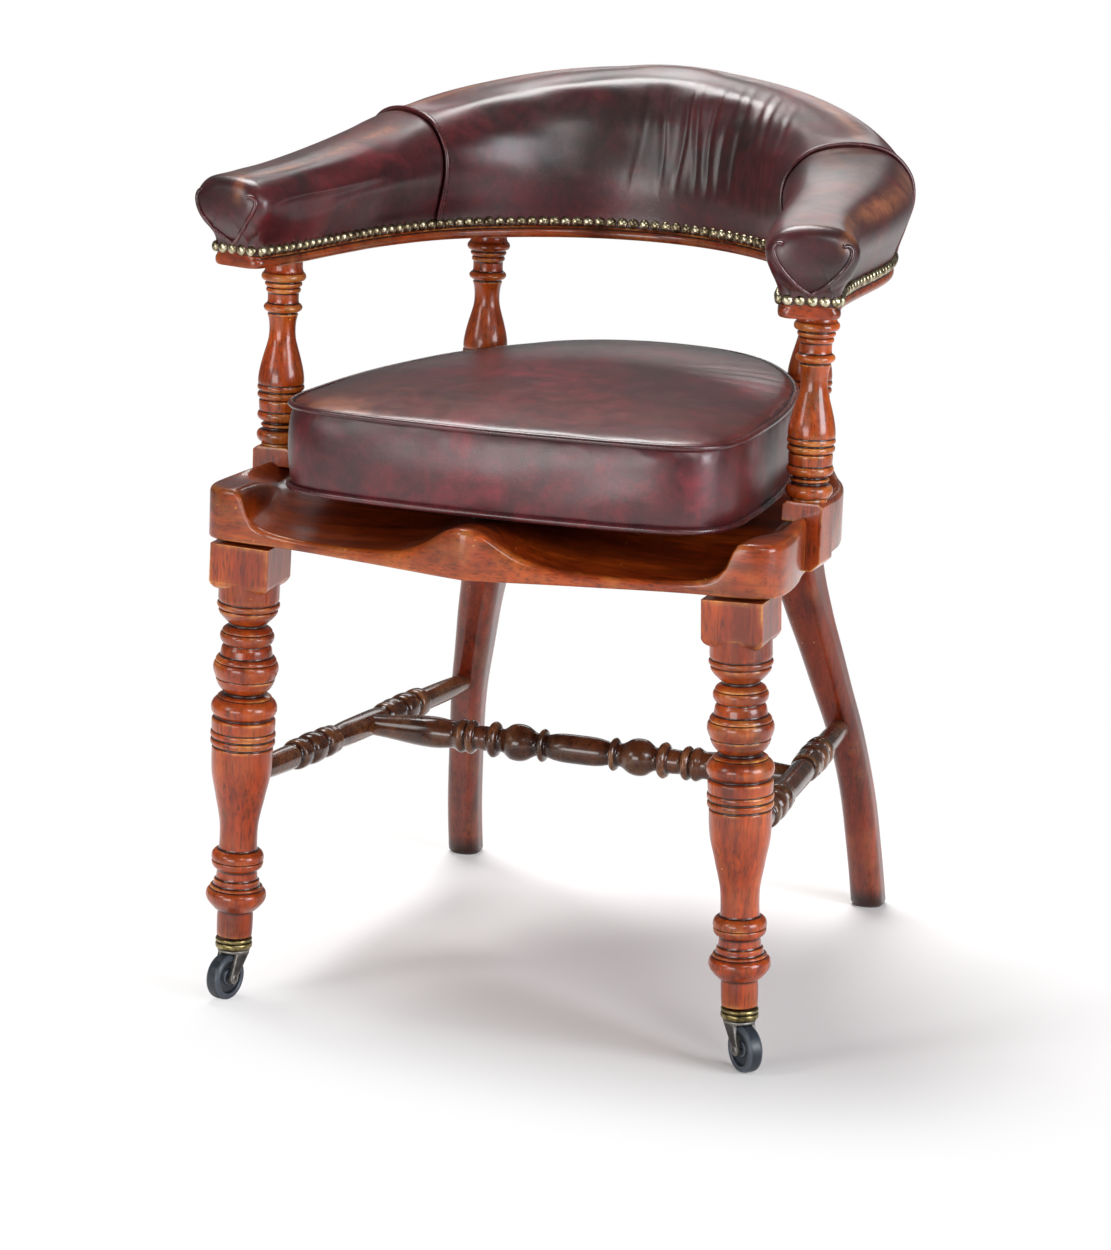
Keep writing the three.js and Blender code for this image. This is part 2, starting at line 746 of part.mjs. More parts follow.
function frontSpindleGeometry(side) {
  const bottom = [[spindleStart - blockRound, spindleShares[0][1] * spindleRadius]];
  const inner = (lapFace - spindleHalfSpan - spindleBlock / 2) / 2;
  const from = spindleStart - blockLap / 2 - spindleTenonLength;
  const tenon = pin(spindleTenonRadius - 2 * gap, from, spindleStart - blockRound);
  return joined(spindleTurning(0, bottom), blockGeometry(side), tenon.translate(side * inner, 0, 0));
}

function frontSpindleSocket(side) {
  const inner = (lapFace - spindleHalfSpan - spindleBlock / 2) / 2;
  const from = spindleStart - blockLap / 2 - spindleTenonLength - gap;
  const socket = pin(spindleTenonRadius - gap, from, spindleStart + cutOverrun);
  return socket.translate(side * (spindleHalfSpan + inner), -spindleFront, 0);
}

function rearSpindleGeometry() {
  const foot = rearSpindleFoot + gap;
  const wide = spindleShares[1][1] * spindleRadius + rearSpindleSwell;
  const neck = spindleShares[0][1] * spindleRadius;
  const bottom = [
    [rearSpindleFoot - spindleTenonLength, spindleTenonRadius],
    [foot, spindleTenonRadius],
    [foot, wide],
    [spindleStart - 2 * blockRound, wide],
    [spindleStart - blockRound, neck],
  ];
  return spindleTurning(rearSpindleSwell, bottom);
}

// Bow: stations run from the front end of one arm round the back

const lastStation = bowShares.length - 1;
const seamStation = seamShare * lastStation;

// a station may lie between two rows of the tables
function bowStation(index, side) {
  const low = Math.floor(index);
  const high = Math.ceil(index);
  const between = (shares) => lerp(shares[low], shares[high], index - low);
  const [ix, iy, ox, oy] = bowShares[low].map((value, k) => lerp(value, bowShares[high][k], index - low));
  const inner = new THREE.Vector2(side * ix * bowHalfWidth, iy * (iy < 0 ? bowFront : bowBackInner));
  const outer = new THREE.Vector2(side * ox * bowHalfWidth, oy * (oy < 0 ? bowFront : bowBackOuter));
  return { inner, outer, change: between(changeShares), rise: between(riseShares) };
}

// the front end is rounded in plan: narrower stations just before the first full one
function roundedEnd(side) {
  const first = bowStation(0, side);
  const second = bowStation(1, side);
  return roundingShares.map(([width, back]) => {
    const share = back * 2;
    const inner = first.inner.clone().lerp(second.inner, share);
    const outer = first.outer.clone().lerp(second.outer, share);
    const middle = inner.clone().add(outer).multiplyScalar(0.5);
    return {
      inner: middle.clone().lerp(inner, width),
      outer: middle.clone().lerp(outer, width),
      change: 0,
      rise: first.rise,
    };
  });
}

function armStations(side, last) {
  const stations = roundedEnd(side);
  for (let i = 1; i <= last; i += 1) stations.push(bowStation(i, side));
  return stations;
}

// stations that stop short of the seam by a small distance along the bow
function seamShifted(side, towards, distance) {
  const at = bowStation(seamStation, side);
  const next = bowStation(seamStation + towards, side);
  const shift = (a, b) => a.clone().lerp(b, distance / a.distanceTo(b));
  return { ...at, inner: shift(at.inner, next.inner), outer: shift(at.outer, next.outer) };
}

// section points [across, height] with across in real length from the inner edge
function sweep(stations, section) {
  const flats = stations.map((station) => section(station, station.inner.distanceTo(station.outer)));
  const rings = stations.map((station, i) => {
    const direction = station.outer.clone().sub(station.inner).normalize();
    return flats[i].map(([across, z]) => new THREE.Vector3(
      station.inner.x + direction.x * across,
      station.inner.y + direction.y * across,
      z,
    ));
  });
  const ends = [flats[0], flats[flats.length - 1]].map((flat) => (
    flat.map(([x, y]) => new THREE.Vector2(x, y))
  ));
  return lofted(rings, ends);
}

function railSection(station, width) {
  const top = railBottom + railEdge;
  const inset = leatherInset + gap;
  return [
    [railRound, railBottom], [width - railRound, railBottom], [width, railBottom + railRound],
    [width, top - railRound], [width - railRound / 2, top], [width - inset, top],
    [width - inset, top + railTongue], [inset, top + railTongue], [inset, top],
    [railRound / 2, top], [0, top - railRound], [0, railBottom + railRound],
  ];
}

function padHeight(station) {
  return lerp(armPadHeight, backPadHeight, station.rise);
}

// crest line of the roll, drawn in towards the rounded end
function rollProfile(station, width) {
  const base = railBottom + railEdge + gap;
  const skirt = base + skirtHeight;
  const height = padHeight(station) - skirtHeight;
  const over = armSectionShares.map(([x, z], i) => {
    const across = lerp(x, backSectionShares[i][0], station.change) * width;
    return [across, skirt + lerp(z, backSectionShares[i][1], station.change) * height];
  });
  return [[0, base], [0, skirt], ...over, [width, skirt], [width, base]];
}

function channelTop(station) {
  return railBottom + railEdge + coreShare * padHeight(station);
}

// board inside the roll: wide at the rail, narrower at its top, set in by the given clearance
function channelSection(station, width, clearance, from) {
  const top = channelTop(station) - clearance;
  const inset = leatherInset + clearance;
  const topInner = lerp(0.2, 0.28, station.change) * width + clearance;
  const topOuter = lerp(0.8, 0.76, station.change) * width - clearance;
  const tongueTop = railBottom + railEdge + railTongue;
  const at = Math.max((from - tongueTop) / (top - tongueTop), 0);
  const low = [width - lerp(inset, width - topOuter, at), lerp(inset, topInner, at)];
  return [[low[0], from], [topOuter, top], [topInner, top], [low[1], from]];
}

function padSection(station, width) {
  const base = railBottom + railEdge + gap;
  const top = base + railTongue;
  const [outerLow, outerTop, innerTop, innerLow] = channelSection(station, width, 0, top);
  return [
    ...rollProfile(station, width),
    [outerLow[0], base], outerLow, outerTop, innerTop, innerLow, [innerLow[0], base],
  ];
}

function coreSection(station, width) {
  const from = railBottom + railEdge + railTongue + gap;
  return channelSection(station, width, gap, from);
}

// Piping, end panels and nails

// path over the roll at a seam, lifted off the leather by the piping's radius
function seamPath(side) {
  const station = bowStation(seamStation, side);
  const width = station.inner.distanceTo(station.outer);
  const profile = rollProfile(station, width).slice(1, -1).map(([x, z]) => new THREE.Vector2(x, z));
  const lift = pipingRadius + 2 * gap;
  const direction = station.outer.clone().sub(station.inner).normalize();
  return profile.map((point, i) => {
    const before = profile[Math.max(i - 1, 0)];
    const after = profile[Math.min(i + 1, profile.length - 1)];
    const run = after.clone().sub(before).normalize();
    const lifted = point.clone().add(new THREE.Vector2(-run.y, run.x).multiplyScalar(lift));
    return new THREE.Vector3(
      station.inner.x + direction.x * lifted.x,
      station.inner.y + direction.y * lifted.x,
      lifted.y + (i === 0 || i === profile.length - 1 ? pipingRadius : 0),
    );
  });
}

// nose of an arm's roll: it closes the channel and swells out over the end of the skirt
function noseGeometry(side) {
  const first = roundedEnd(side)[0];
  const full = bowStation(0, side);
  const width = full.inner.distanceTo(full.outer);
  const profile = rollProfile(first, width);
  const skirt = railBottom + railEdge + gap + skirtHeight;
  const centre = skirt + noseMiddleShare * (padHeight(first) - skirtHeight);
  const rings = noseShares.map(([out, wide, low], i) => profile.map(([across, z]) => {
    const under = z <= skirt && i > 1;
    const x = (across - width / 2) * (i < 3 && z <= skirt ? roundingShares[0][0] : wide);
    const rise = under ? (skirt - centre) * low * (z < skirt ? 1 : 0.9) : (z - centre) * wide;
    const place = full.inner.x + side * (x + width / 2);
    return new THREE.Vector3(place, full.inner.y - out * noseLength, centre + rise);
  }));
  const flat = profile.map(([x, z]) => new THREE.Vector2(x, z));
  return lofted(rings, [flat, flat]);
}

// the wedge of leather between the two slanting seams of the nose
function wedgeGeometry(side, grown) {
  const { x, y, z: tip, width, height } = wedgePlace(side);
  const half = width / 2 + grown;
  const slope = Math.hypot(width / 2, height) / (width / 2);
  const outline = [
    [0, -grown * slope], [half, height], [half, 3 * height], [-half, 3 * height], [-half, height],
  ];
  const shape = new THREE.Shape(outline.map(([across, rise]) => new THREE.Vector2(across, rise)));
  const wedge = new THREE.ExtrudeGeometry(shape, { depth: 2 * noseLength, bevelEnabled: false });
  return outward(wedge.rotateX(Math.PI / 2).translate(x, y, tip));
}

function wedgePlace(side) {
  const full = bowStation(0, side);
  return {
    x: (full.inner.x + full.outer.x) / 2,
    y: full.inner.y - gap,
    z: railBottom + railEdge + skirtHeight + nailRise,
    width: panelWidthShare * full.inner.distanceTo(full.outer),
    height: panelHeightShare * armPadHeight,
  };
}

// slanting seams of the nose, laid on its surface: down one side of the wedge and up the other
function wedgePath(side, nose) {
  const place = wedgePlace(side);
  const ray = new THREE.Raycaster();
  const target = new THREE.Mesh(nose, new THREE.MeshBasicMaterial({ side: THREE.DoubleSide }));
  return wedgeStepShares.map(([x, z]) => {
    const across = place.x + x * place.width / 2;
    const from = new THREE.Vector3(across, place.y - 3 * noseLength, place.z + z * place.height);
    ray.set(from, new THREE.Vector3(0, 1, 0));
    const [hit] = ray.intersectObject(target);
    return new THREE.Vector3(from.x, hit.point.y - pipingRadius - 3 * gap, from.z);
  });
}

// line of the skirt in plan on one side: from the middle of the back round the arm and back inside
function skirtLine(side) {
  const stations = armStations(side, lastStation);
  const outer = stations.map((station) => station.outer).reverse();
  return [...outer, ...stations.map((station) => station.inner)];
}

// even places along a line, each with the direction of the line there
function placesAlong(line, count) {
  const spans = line.slice(1).map((point, i) => point.distanceTo(line[i]));
  const total = spans.reduce((sum, span) => sum + span, 0);
  return Array.from({ length: count }, (_, n) => {
    let rest = (n + 0.5) * total / count;
    let i = 0;
    while (rest > spans[i]) {
      rest -= spans[i];
      i += 1;
    }
    const at = line[i].clone().lerp(line[i + 1], rest / spans[i]);
    return { at, run: line[i + 1].clone().sub(line[i]).normalize() };
  });
}

function lineLength(line) {
  return line.slice(1).reduce((sum, point, i) => sum + point.distanceTo(line[i]), 0);
}

// places of the strip behind the nails, clear of the leather's corners between them
function stripPlaces(side) {
  const line = skirtLine(side);
  const count = 2 * Math.round(lineLength(line) / nailPitch) + 1;
  const turnedOut = (run) => new THREE.Vector2(-run.y, run.x).multiplyScalar(side);
  const places = placesAlong(line, count).map(({ at, run }) => ({ at, out: turnedOut(run) }));
  const lifts = places.map(() => 1.5 * gap);
  for (let i = 0; i + 1 < count; i += 1) {
    const [a, b] = [places[i], places[i + 1]];
    const run = b.at.clone().sub(a.at);
    const out = turnedOut(run).normalize();
    line.forEach((corner) => {
      const offset = corner.clone().sub(a.at);
      const share = offset.dot(run) / run.lengthSq();
      const rise = offset.dot(out);
      if (share < 0 || share > 1 || Math.abs(rise) > nailPitch) return;
      lifts[i] = Math.max(lifts[i], (rise + 1.5 * gap) / a.out.dot(out));
      lifts[i + 1] = Math.max(lifts[i + 1], (rise + 1.5 * gap) / b.out.dot(out));
    });
  }
  return places.map(({ at, out }, i) => ({ at: at.clone().addScaledVector(out, lifts[i]), out }));
}

// row of domed nail heads, held together by the thin strip that runs behind them
function nailRow(side) {
  const height = railBottom + railEdge + skirtHeight / 2;
  const sections = stripPlaces(side).map(({ at, out }, i) => {
    const [half, rise] = i % 2 ? [nailRadius, nailRise] : [stripWidth / 2, stripThickness];
    const tip = at.clone().addScaledVector(out, rise);
    return [[at, height - half], [at, height + half], [tip, height]].map(([{ x, y }, z]) => (
      new THREE.Vector3(x, y, z)
    ));
  });
  const flat = [[0, -1], [0, 1], [1, 0]].map(([x, y]) => new THREE.Vector2(x, y));
  return lofted(sections, [flat, flat]);
}

// Cushion

const cushionPlan = mirroredPlan(cushionShares, cushionHalfWidth, cushionFront, cushionBack);

function cushionRing(reach, grown, height) {
  return cushionPlan.map(([x, y]) => {
    const px = x * reach;
    const py = (y + seatCentre) * reach - seatCentre;
    const length = Math.hypot(px, py + seatCentre);
    const stretch = 1 + grown / length;
    return new THREE.Vector3(px * stretch, (py + seatCentre) * stretch - seatCentre, height(px, py));
  });
}

// the underside hangs between its seams and rests on the seat below it
function cushionUnder(reach) {
  return (x, y) => {
    const hang = cushionBottom - cushionSag * Math.sqrt(1 - reach ** 2);
    return Math.max(hang, seatTop(x + cushionDrift, y, seatReach(x + cushionDrift, y)) + gap);
  };
}

function cushionGeometry() {
  const top = cushionBottom + cushionBoxing;
  const crown = (reach) => () => top + cushionCrown * Math.sqrt(1 - reach ** 2.6);
  const rings = [
    ...[0.25, 0.5, 0.72, 0.88, 0.96].map((reach) => cushionRing(reach, 0, cushionUnder(reach))),
    cushionRing(1, -cushionDraw, () => cushionBottom),
    cushionRing(1, -cushionDraw / 3, () => cushionBottom + cushionBoxing * 0.15),
    cushionRing(1, 0, () => cushionBottom + cushionBoxing / 2),
    cushionRing(1, -cushionDraw / 3, () => top - cushionBoxing * 0.15),
    cushionRing(1, -cushionDraw, () => top),
    ...[0.96, 0.88, 0.72, 0.5, 0.25].map((reach) => cushionRing(reach, -cushionDraw / 2, crown(reach))),
  ];
  const low = new THREE.Vector3(0, -seatCentre, cushionUnder(0)(0, -seatCentre));
  const high = new THREE.Vector3(0, -seatCentre, top + cushionCrown);
  return domed(low, rings, high);
}

function cushionPipingGeometry(height) {
  const grown = cushionPipingRadius * Math.SQRT1_2 + 1.5 * gap - cushionDraw * 0.72;
  const ring = cushionRing(1, grown, () => height);
  return tube(ring, cushionPipingRadius, 4, true);
}

// Castors

function ringGeometry() {
  const top = ringBottom + ringHeight;
  const bore = pintleRadius + turningPlay;
  const groove = ringRadius - gap;
  return turnedRing([
    [ringBottom, bore], [ringBottom, ringRadius - 1.5 * gap], [ringBottom + ringFloor, ringRadius],
    [ringBottom + ringHeight / 2, groove], [top - ringFloor, ringRadius], [top, ringRadius - 1.5 * gap],
    [top, footRadius + 2 * gap], [ringBottom + ringFloor, footRadius + 2 * gap],
    [ringBottom + ringFloor, bore],
  ], wheelSides);
}

// horn: crown plate with its pintle, and two arms that trail down to the axle
function hornGeometry() {
  const plateTop = ringBottom - turningPlay;
  const plateBottom = plateTop - hornPlate;
  const plate = turned([
    [plateBottom, hornRadius - hornPlate / 2], [plateBottom + hornPlate / 2, hornRadius],
    [plateTop, hornRadius - hornPlate / 4], [plateTop, pintleRadius],
    [plateTop + pintleLength, pintleRadius],
  ], wheelSides);
  const inner = wheelWidth / 2 + hornPlay;
  const arm = armShape();
  const arms = [-inner - hornArm, inner].map((from) => {
    const plateArm = new THREE.ExtrudeGeometry(arm, { depth: hornArm, bevelEnabled: false });
    return outward(plateArm.rotateY(Math.PI / 2).rotateX(Math.PI / 2).translate(from, 0, 0));
  });
  const hole = pin(rivetRadius + gap, -cutOverrun, cutOverrun).rotateY(Math.PI / 2);
  return cut(joined(plate, ...arms), hole.translate(0, -castorTrail, wheelRadius));
}

// side outline of an arm: as wide as the crown above, drawn in to a round end at the axle
function armShape() {
  const plateTop = ringBottom - turningPlay - hornPlate / 3;
  const half = hornRadius * 0.62;
  const points = [[half, plateTop], [half, plateTop - hornPlate]];
  for (let k = 0; k <= 6; k += 1) {
    const angle = rad(10) - Math.PI * k / 6;
    points.push([-castorTrail + hornArmEnd * Math.cos(angle), wheelRadius + hornArmEnd * Math.sin(angle)]);
  }
  points.push([-half, plateTop - hornPlate], [-half, plateTop]);
  return new THREE.Shape(points.map(([y, z]) => new THREE.Vector2(y, z)));
}

function rivetGeometry() {
  const end = wheelWidth / 2 + hornPlay + hornArm + gap;
  const rise = end + rivetHeadHeight;
  return turned([
    [-rise, rivetHead / 2], [-end - rivetHeadHeight / 2, rivetHead], [-end, rivetHead], [-end, rivetRadius],
    [end, rivetRadius], [end, rivetHead], [end + rivetHeadHeight / 2, rivetHead], [rise, rivetHead / 2],
  ], pinSides).rotateY(Math.PI / 2);
}

// solid wheel with a rounded tread and dished faces
function wheelGeometry() {
  const half = wheelWidth / 2;
  const shares = [
    [-0.7, 0.28], [-0.45, 0.34], [-0.45, 0.68], [-0.92, 0.77], [-0.98, 0.93], [-0.7, 1],
    [0.7, 1], [0.98, 0.93], [0.92, 0.77], [0.45, 0.68], [0.45, 0.34], [0.7, 0.28],
  ];
  const profile = shares.map(([x, radius]) => [x * half, radius * wheelRadius]);
  const bore = [[0.7 * half, wheelBore], [-0.7 * half, wheelBore]];
  return turnedRing([...profile, ...bore], wheelSides).rotateY(Math.PI / 2);
}

function castorGroup(side) {
  const group = new THREE.Group();
  const foot = ringBottom * Math.tan(rad(legSplayDegrees));
  group.position.set(side * (legHalfSpan - foot), -legFront, 0);
  group.rotation.z = rad(side < 0 ? leftCastorDegrees : rightCastorDegrees);
  stance.add(group);
  return group;
}

// Assembly

const seatCutters = [];
const railCutters = { left: [], right: [] };

const legs = Object.fromEntries(sides.map(([name, side]) => {
  const group = legGroup(side);
  const under = new THREE.Vector3(side * legHalfSpan, -legFront, seatBottom);
  const crossing = group.worldToLocal(frame.localToWorld(under)).z;
  const tenon = (grown) => (
    pin(legTenonRadius + grown, crossing - legBlockRound, crossing + legTenonLength + grown)
  );
  const block = cut(legBlockGeometry(), moved(overSeat(gap), frame, group));
  const castor = castorGroup(side);
  const bore = pin(pintleRadius + turningPlay, legFoot - cutOverrun, ringBottom + pintleLength + gap);
  seatCutters.push(moved(tenon(gap), group, frame));
  const whole = joined(legTurning(), block, tenon(0));
  return [name, { group, castor, geometry: cut(whole, moved(bore, castor, group)) }];
}));

const rearLegs = Object.fromEntries(sides.map(([name, side]) => {
  const top = sabreCentre(rearLegHeight, side);
  const back = top.y - seatBottom * Math.sin(rad(leanDegrees));
  const tenon = (grown) => (
    pin(rearTenonRadius + grown, seatBottom - legBlockRound, seatBottom + rearTenonLength + grown)
      .translate(top.x, back, 0)
  );
  const body = cut(rearLegGeometry(side), moved(overSeat(gap), frame, stance));
  seatCutters.push(tenon(gap));
  return [name, joined(body, moved(tenon(0), frame, stance))];
}));

const stretchers = Object.fromEntries(sides.map(([name, side]) => {
  const from = sideStretcherFront(side);
  const to = sideStretcherRear(side);
  return [name, { group: along(from, to), from, to, length: from.distanceTo(to) }];
}));
const crossShare = 0.53;
const crossEnds = sides.map(([name]) => stretchers[name].from.clone().lerp(stretchers[name].to, crossShare));
const cross = along(crossEnds[0], crossEnds[1]);
cross.position.copy(crossEnds[0].clone().lerp(crossEnds[1], 0.5));
const crossLength = crossEnds[0].distanceTo(crossEnds[1]);

sides.forEach(([name, side]) => {
  const { group, length } = stretchers[name];
  const socketFront = pin(sideTenonRadius + gap, sideTenonFront - gap, length / 3, stretcherSides);
  const socketRear = pin(sideTenonRadius + gap, 2 * length / 3, length - sideTenonRear + gap, stretcherSides);
  const leg = legs[name];
  piece(leg.group, `front_leg_${name}`, cut(leg.geometry, moved(socketFront, group, leg.group)), mahogany);
  piece(stance, `rear_leg_${name}`, cut(rearLegs[name], moved(socketRear, group, stance)), mahogany);
  const end = crossLength / 2 - sideRadius + crossTenonDepth + gap;
  const span = side < 0 ? [-end, cutOverrun - end] : [end - cutOverrun, end];
  const socketCross = moved(pin(crossTenonRadius + gap, ...span, stretcherSides), cross, group);
  piece(group, `side_stretcher_${name}`, cut(sideStretcherGeometry(length), socketCross), darkMahogany);
});
piece(cross, 'cross_stretcher', crossStretcherGeometry(crossLength), darkMahogany);

sides.forEach(([name, side]) => {
  const front = new THREE.Group();
  front.position.set(side * spindleHalfSpan, -spindleFront, 0);
  const rear = new THREE.Group();
  rear.position.set(side * rearSpindleSpread, rearSpindleBack, 0);
  frame.add(front, rear);
  piece(front, `front_spindle_${name}`, frontSpindleGeometry(side), mahogany);
  piece(rear, `rear_spindle_${name}`, rearSpindleGeometry(), mahogany);
  const lap = new THREE.BoxGeometry(cutOverrun, spindleBlock + 2 * gap, seatBottom);
  const step = new THREE.BoxGeometry(spindleBlock + 2 * gap, spindleBlock + 2 * gap, cutOverrun);
  seatCutters.push(
    lap.translate(side * (lapFace + cutOverrun / 2), -spindleFront, seatBottom),
    step.translate(side * spindleHalfSpan, -spindleFront, seatBottom + earThickness + cutOverrun / 2),
    frontSpindleSocket(side),
  );
  const wide = spindleShares[1][1] * spindleRadius + rearSpindleSwell + gap;
  const recess = turned([
    [rearSpindleFoot - spindleTenonLength - gap, spindleTenonRadius + gap],
    [rearSpindleFoot, spindleTenonRadius + gap],
    [rearSpindleFoot, wide],
    [spindleStart + cutOverrun, wide],
  ], spindleSides);
  seatCutters.push(recess.translate(side * rearSpindleSpread, rearSpindleBack, 0));
  [front, rear].forEach((group) => {
    const top = railBottom + spindleTenonLength + gap;
    const socket = pin(spindleTenonRadius + gap, railBottom - cutOverrun, top, spindleSides);
    railCutters[name].push(moved(socket, group, frame));
  });
});
piece(frame, 'seat', cut(seatGeometry(), ...seatCutters), mahogany);

const dowelHeight = railBottom + (railEdge + railTongue) / 2;
const dowelPlace = (bowBackInner + bowBackOuter) / 2;
function dowel(grown) {
  const half = dowelLength / 2 + grown;
  return pin(dowelRadius + grown, -half, half).rotateY(Math.PI / 2).translate(0, dowelPlace, dowelHeight);
}
piece(frame, 'rail_dowel', dowel(0), innerWood);

sides.forEach(([name, side]) => {
  const stations = armStations(side, lastStation);
  const last = stations[stations.length - 1];
  stations[stations.length - 1] = {
    ...last,
    inner: last.inner.clone().add(new THREE.Vector2(side * gap / 2, 0)),
    outer: last.outer.clone().add(new THREE.Vector2(side * gap / 2, 0)),
  };
  const trim = new THREE.BoxGeometry(4 * cutOverrun, 2 * noseLength, 2 * railTongue);
  trim.translate(side * bowHalfWidth, -bowFront, railBottom + railEdge + railTongue);
  const rail = cut(sweep(stations, railSection), trim, ...railCutters[name], dowel(gap));
  piece(frame, `bow_rail_${name}`, rail, mahogany);

  const arm = [...armStations(side, Math.ceil(seamStation) - 1), seamShifted(side, -1, seamGap / 2)];
  const nose = noseGeometry(side);
  const roll = joined(sweep(arm.slice(2), padSection), nose);
  piece(frame, `arm_pad_${name}`, cut(roll, wedgeGeometry(side, gap)), leather);
  const panel = facetedSolid(roll).intersect(facetedSolid(wedgeGeometry(side, 0)));
  piece(frame, `arm_end_panel_${name}`, geometryFrom(panel), leather);
  piece(frame, `end_piping_${name}`, tube(wedgePath(side, nose), pipingRadius, 5, false), leatherPiping);
  piece(frame, `arm_core_${name}`, sweep(arm.slice(3), coreSection), innerWood);
  piece(frame, `seam_piping_${name}`, tube(seamPath(side), pipingRadius, 6, false), leatherPiping);
});

const leftBack = [];
const rightBack = [];
for (let i = Math.floor(seamStation) + 1; i < lastStation; i += 1) {
  leftBack.push(bowStation(i, -1));
  rightBack.unshift(bowStation(i, 1));
}
const backStations = [
  seamShifted(-1, 1, seamGap / 2), ...leftBack, bowStation(lastStation, 1), ...rightBack,
  seamShifted(1, 1, seamGap / 2),
];
piece(frame, 'back_pad', sweep(backStations, padSection), leather);
piece(frame, 'back_core', sweep(backStations, coreSection), innerWood);
sides.forEach(([name, side]) => piece(frame, `nail_row_${name}`, nailRow(side), antiqueBrass));

const cushion = new THREE.Group();
cushion.position.x = cushionDrift;
frame.add(cushion);
piece(cushion, 'cushion', cushionGeometry(), leather);
piece(cushion, 'cushion_piping_bottom', cushionPipingGeometry(cushionBottom), leatherPiping);
piece(cushion, 'cushion_piping_top', cushionPipingGeometry(cushionBottom + cushionBoxing), leatherPiping);

sides.forEach(([name]) => {
  const { castor } = legs[name];
  piece(castor, `castor_ring_${name}`, ringGeometry(), oldBrass);
  piece(castor, `castor_horn_${name}`, hornGeometry(), darkIron);
  const axle = new THREE.Group();
  axle.position.set(0, -castorTrail, wheelRadius);
  castor.add(axle);
  piece(axle, `castor_rivet_${name}`, rivetGeometry(), darkIron);
  piece(axle, `castor_wheel_${name}`, wheelGeometry(), wheelBlack);
});

export default chair;
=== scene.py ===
import math

import bmesh
import bpy
import numpy as np
from mathutils import Matrix, Vector, noise
from mathutils.bvhtree import BVHTree


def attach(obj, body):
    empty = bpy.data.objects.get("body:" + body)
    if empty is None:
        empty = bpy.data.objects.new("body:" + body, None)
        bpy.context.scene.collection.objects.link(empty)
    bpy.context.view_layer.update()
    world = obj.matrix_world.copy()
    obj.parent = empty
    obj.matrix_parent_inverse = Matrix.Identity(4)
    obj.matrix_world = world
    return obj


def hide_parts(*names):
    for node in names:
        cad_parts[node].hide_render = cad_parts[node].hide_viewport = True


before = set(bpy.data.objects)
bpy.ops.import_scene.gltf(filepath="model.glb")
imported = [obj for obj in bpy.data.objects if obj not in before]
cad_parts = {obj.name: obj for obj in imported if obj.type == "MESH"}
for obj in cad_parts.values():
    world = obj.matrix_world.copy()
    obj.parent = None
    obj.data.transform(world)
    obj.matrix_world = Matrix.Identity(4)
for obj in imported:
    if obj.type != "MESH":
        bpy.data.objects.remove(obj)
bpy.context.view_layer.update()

scene = bpy.context.scene
SIDES = (("left", -1), ("right", 1))

# Camera. A long lens a little above the cushion, from the sitter's front right.
# The whole chair stands in an upright frame of 1111 by 1250.
camera_place = Vector((1.344385, -3.84863, 1.325208))
camera_turn, camera_fall, camera_roll = (math.radians(angle) for angle in (19.487, 14.205, 1.589))
focal_pixels, frame_height, film = 5023.2, 1250, 36


def placed(name, data):
    """A new object in the scene."""
    made = bpy.data.objects.new(name, data)
    scene.collection.objects.link(made)
    return made


ahead = Vector((
    -math.sin(camera_turn) * math.cos(camera_fall),
    math.cos(camera_turn) * math.cos(camera_fall),
    -math.sin(camera_fall),
))
level = Vector((math.cos(camera_turn), math.sin(camera_turn), 0))
upward = level.cross(ahead)
rightward = level * math.cos(camera_roll) + upward * math.sin(camera_roll)
upward = upward * math.cos(camera_roll) - level * math.sin(camera_roll)
camera = placed("camera", bpy.data.cameras.new("camera"))
camera.data.sensor_width = film
camera.data.lens = focal_pixels * film / frame_height
camera.matrix_world = (
    Matrix.Translation(camera_place)
    @ Matrix((rightward, upward, -ahead)).transposed().to_4x4()
)
scene.camera = camera
scene.view_settings.view_transform = "Standard"


# Light. Soft windows placed where the highlights ask for them: one on the right draws the sheen
# in the back's hollow, one in front lies on the cushion, a skylight casts the shadow.
fill_light, mirrored_less = 0.15, -0.02
daylight = (0.92, 0.94, 1)


def soft_box(name, place, target, width, height, power, colour=(1, 1, 1)):
    data = bpy.data.lights.new(name, "AREA")
    data.shape = "RECTANGLE"
    data.size, data.size_y, data.energy, data.color = width, height, power, colour
    box = placed(name, data)
    box.location = place
    box.visible_camera = False
    box.rotation_euler = (Vector(target) - Vector(place)).to_track_quat("-Z", "Y").to_euler()


soft_box("window_left", (-2.0, -2.5, 1.8), (0, 0, 0.45), 0.9, 1.4, 24)
soft_box("window_front", (-0.9, -4.7, 0.74), (0, 0, 0.5), 2.4, 1.3, 80)
soft_box("window_corner", (1.9, -2.2, 2.3), (0, 0, 0.4), 0.8, 0.8, 20)
soft_box("window_right", (3.0, -0.85, 1.2), (0, 0, 0.62), 1.5, 1.5, 84, daylight)
soft_box("skylight", (-0.6, 0.7, 2.7), (0, 0, 0.5), 1.4, 1.1, 72)
soft_box("window_behind", (-0.6, 2.6, 1.5), (0, 0, 0.45), 1.3, 0.35, 5)


def add(tree, kind, inputs=None, **settings):
    """A node with its settings; each input is a value or a socket to link from."""
    node = tree.nodes.new(kind)
    for key, value in settings.items():
        setattr(node, key, value)
    for key, value in (inputs or {}).items():
        if isinstance(value, bpy.types.NodeSocket):
            tree.links.new(value, node.inputs[key])
        else:
            node.inputs[key].default_value = value
    return node


def calc(tree, operation, *values):
    """Result of a maths node with its inputs in order."""
    return add(tree, "ShaderNodeMath", dict(enumerate(values)), operation=operation).outputs[0]


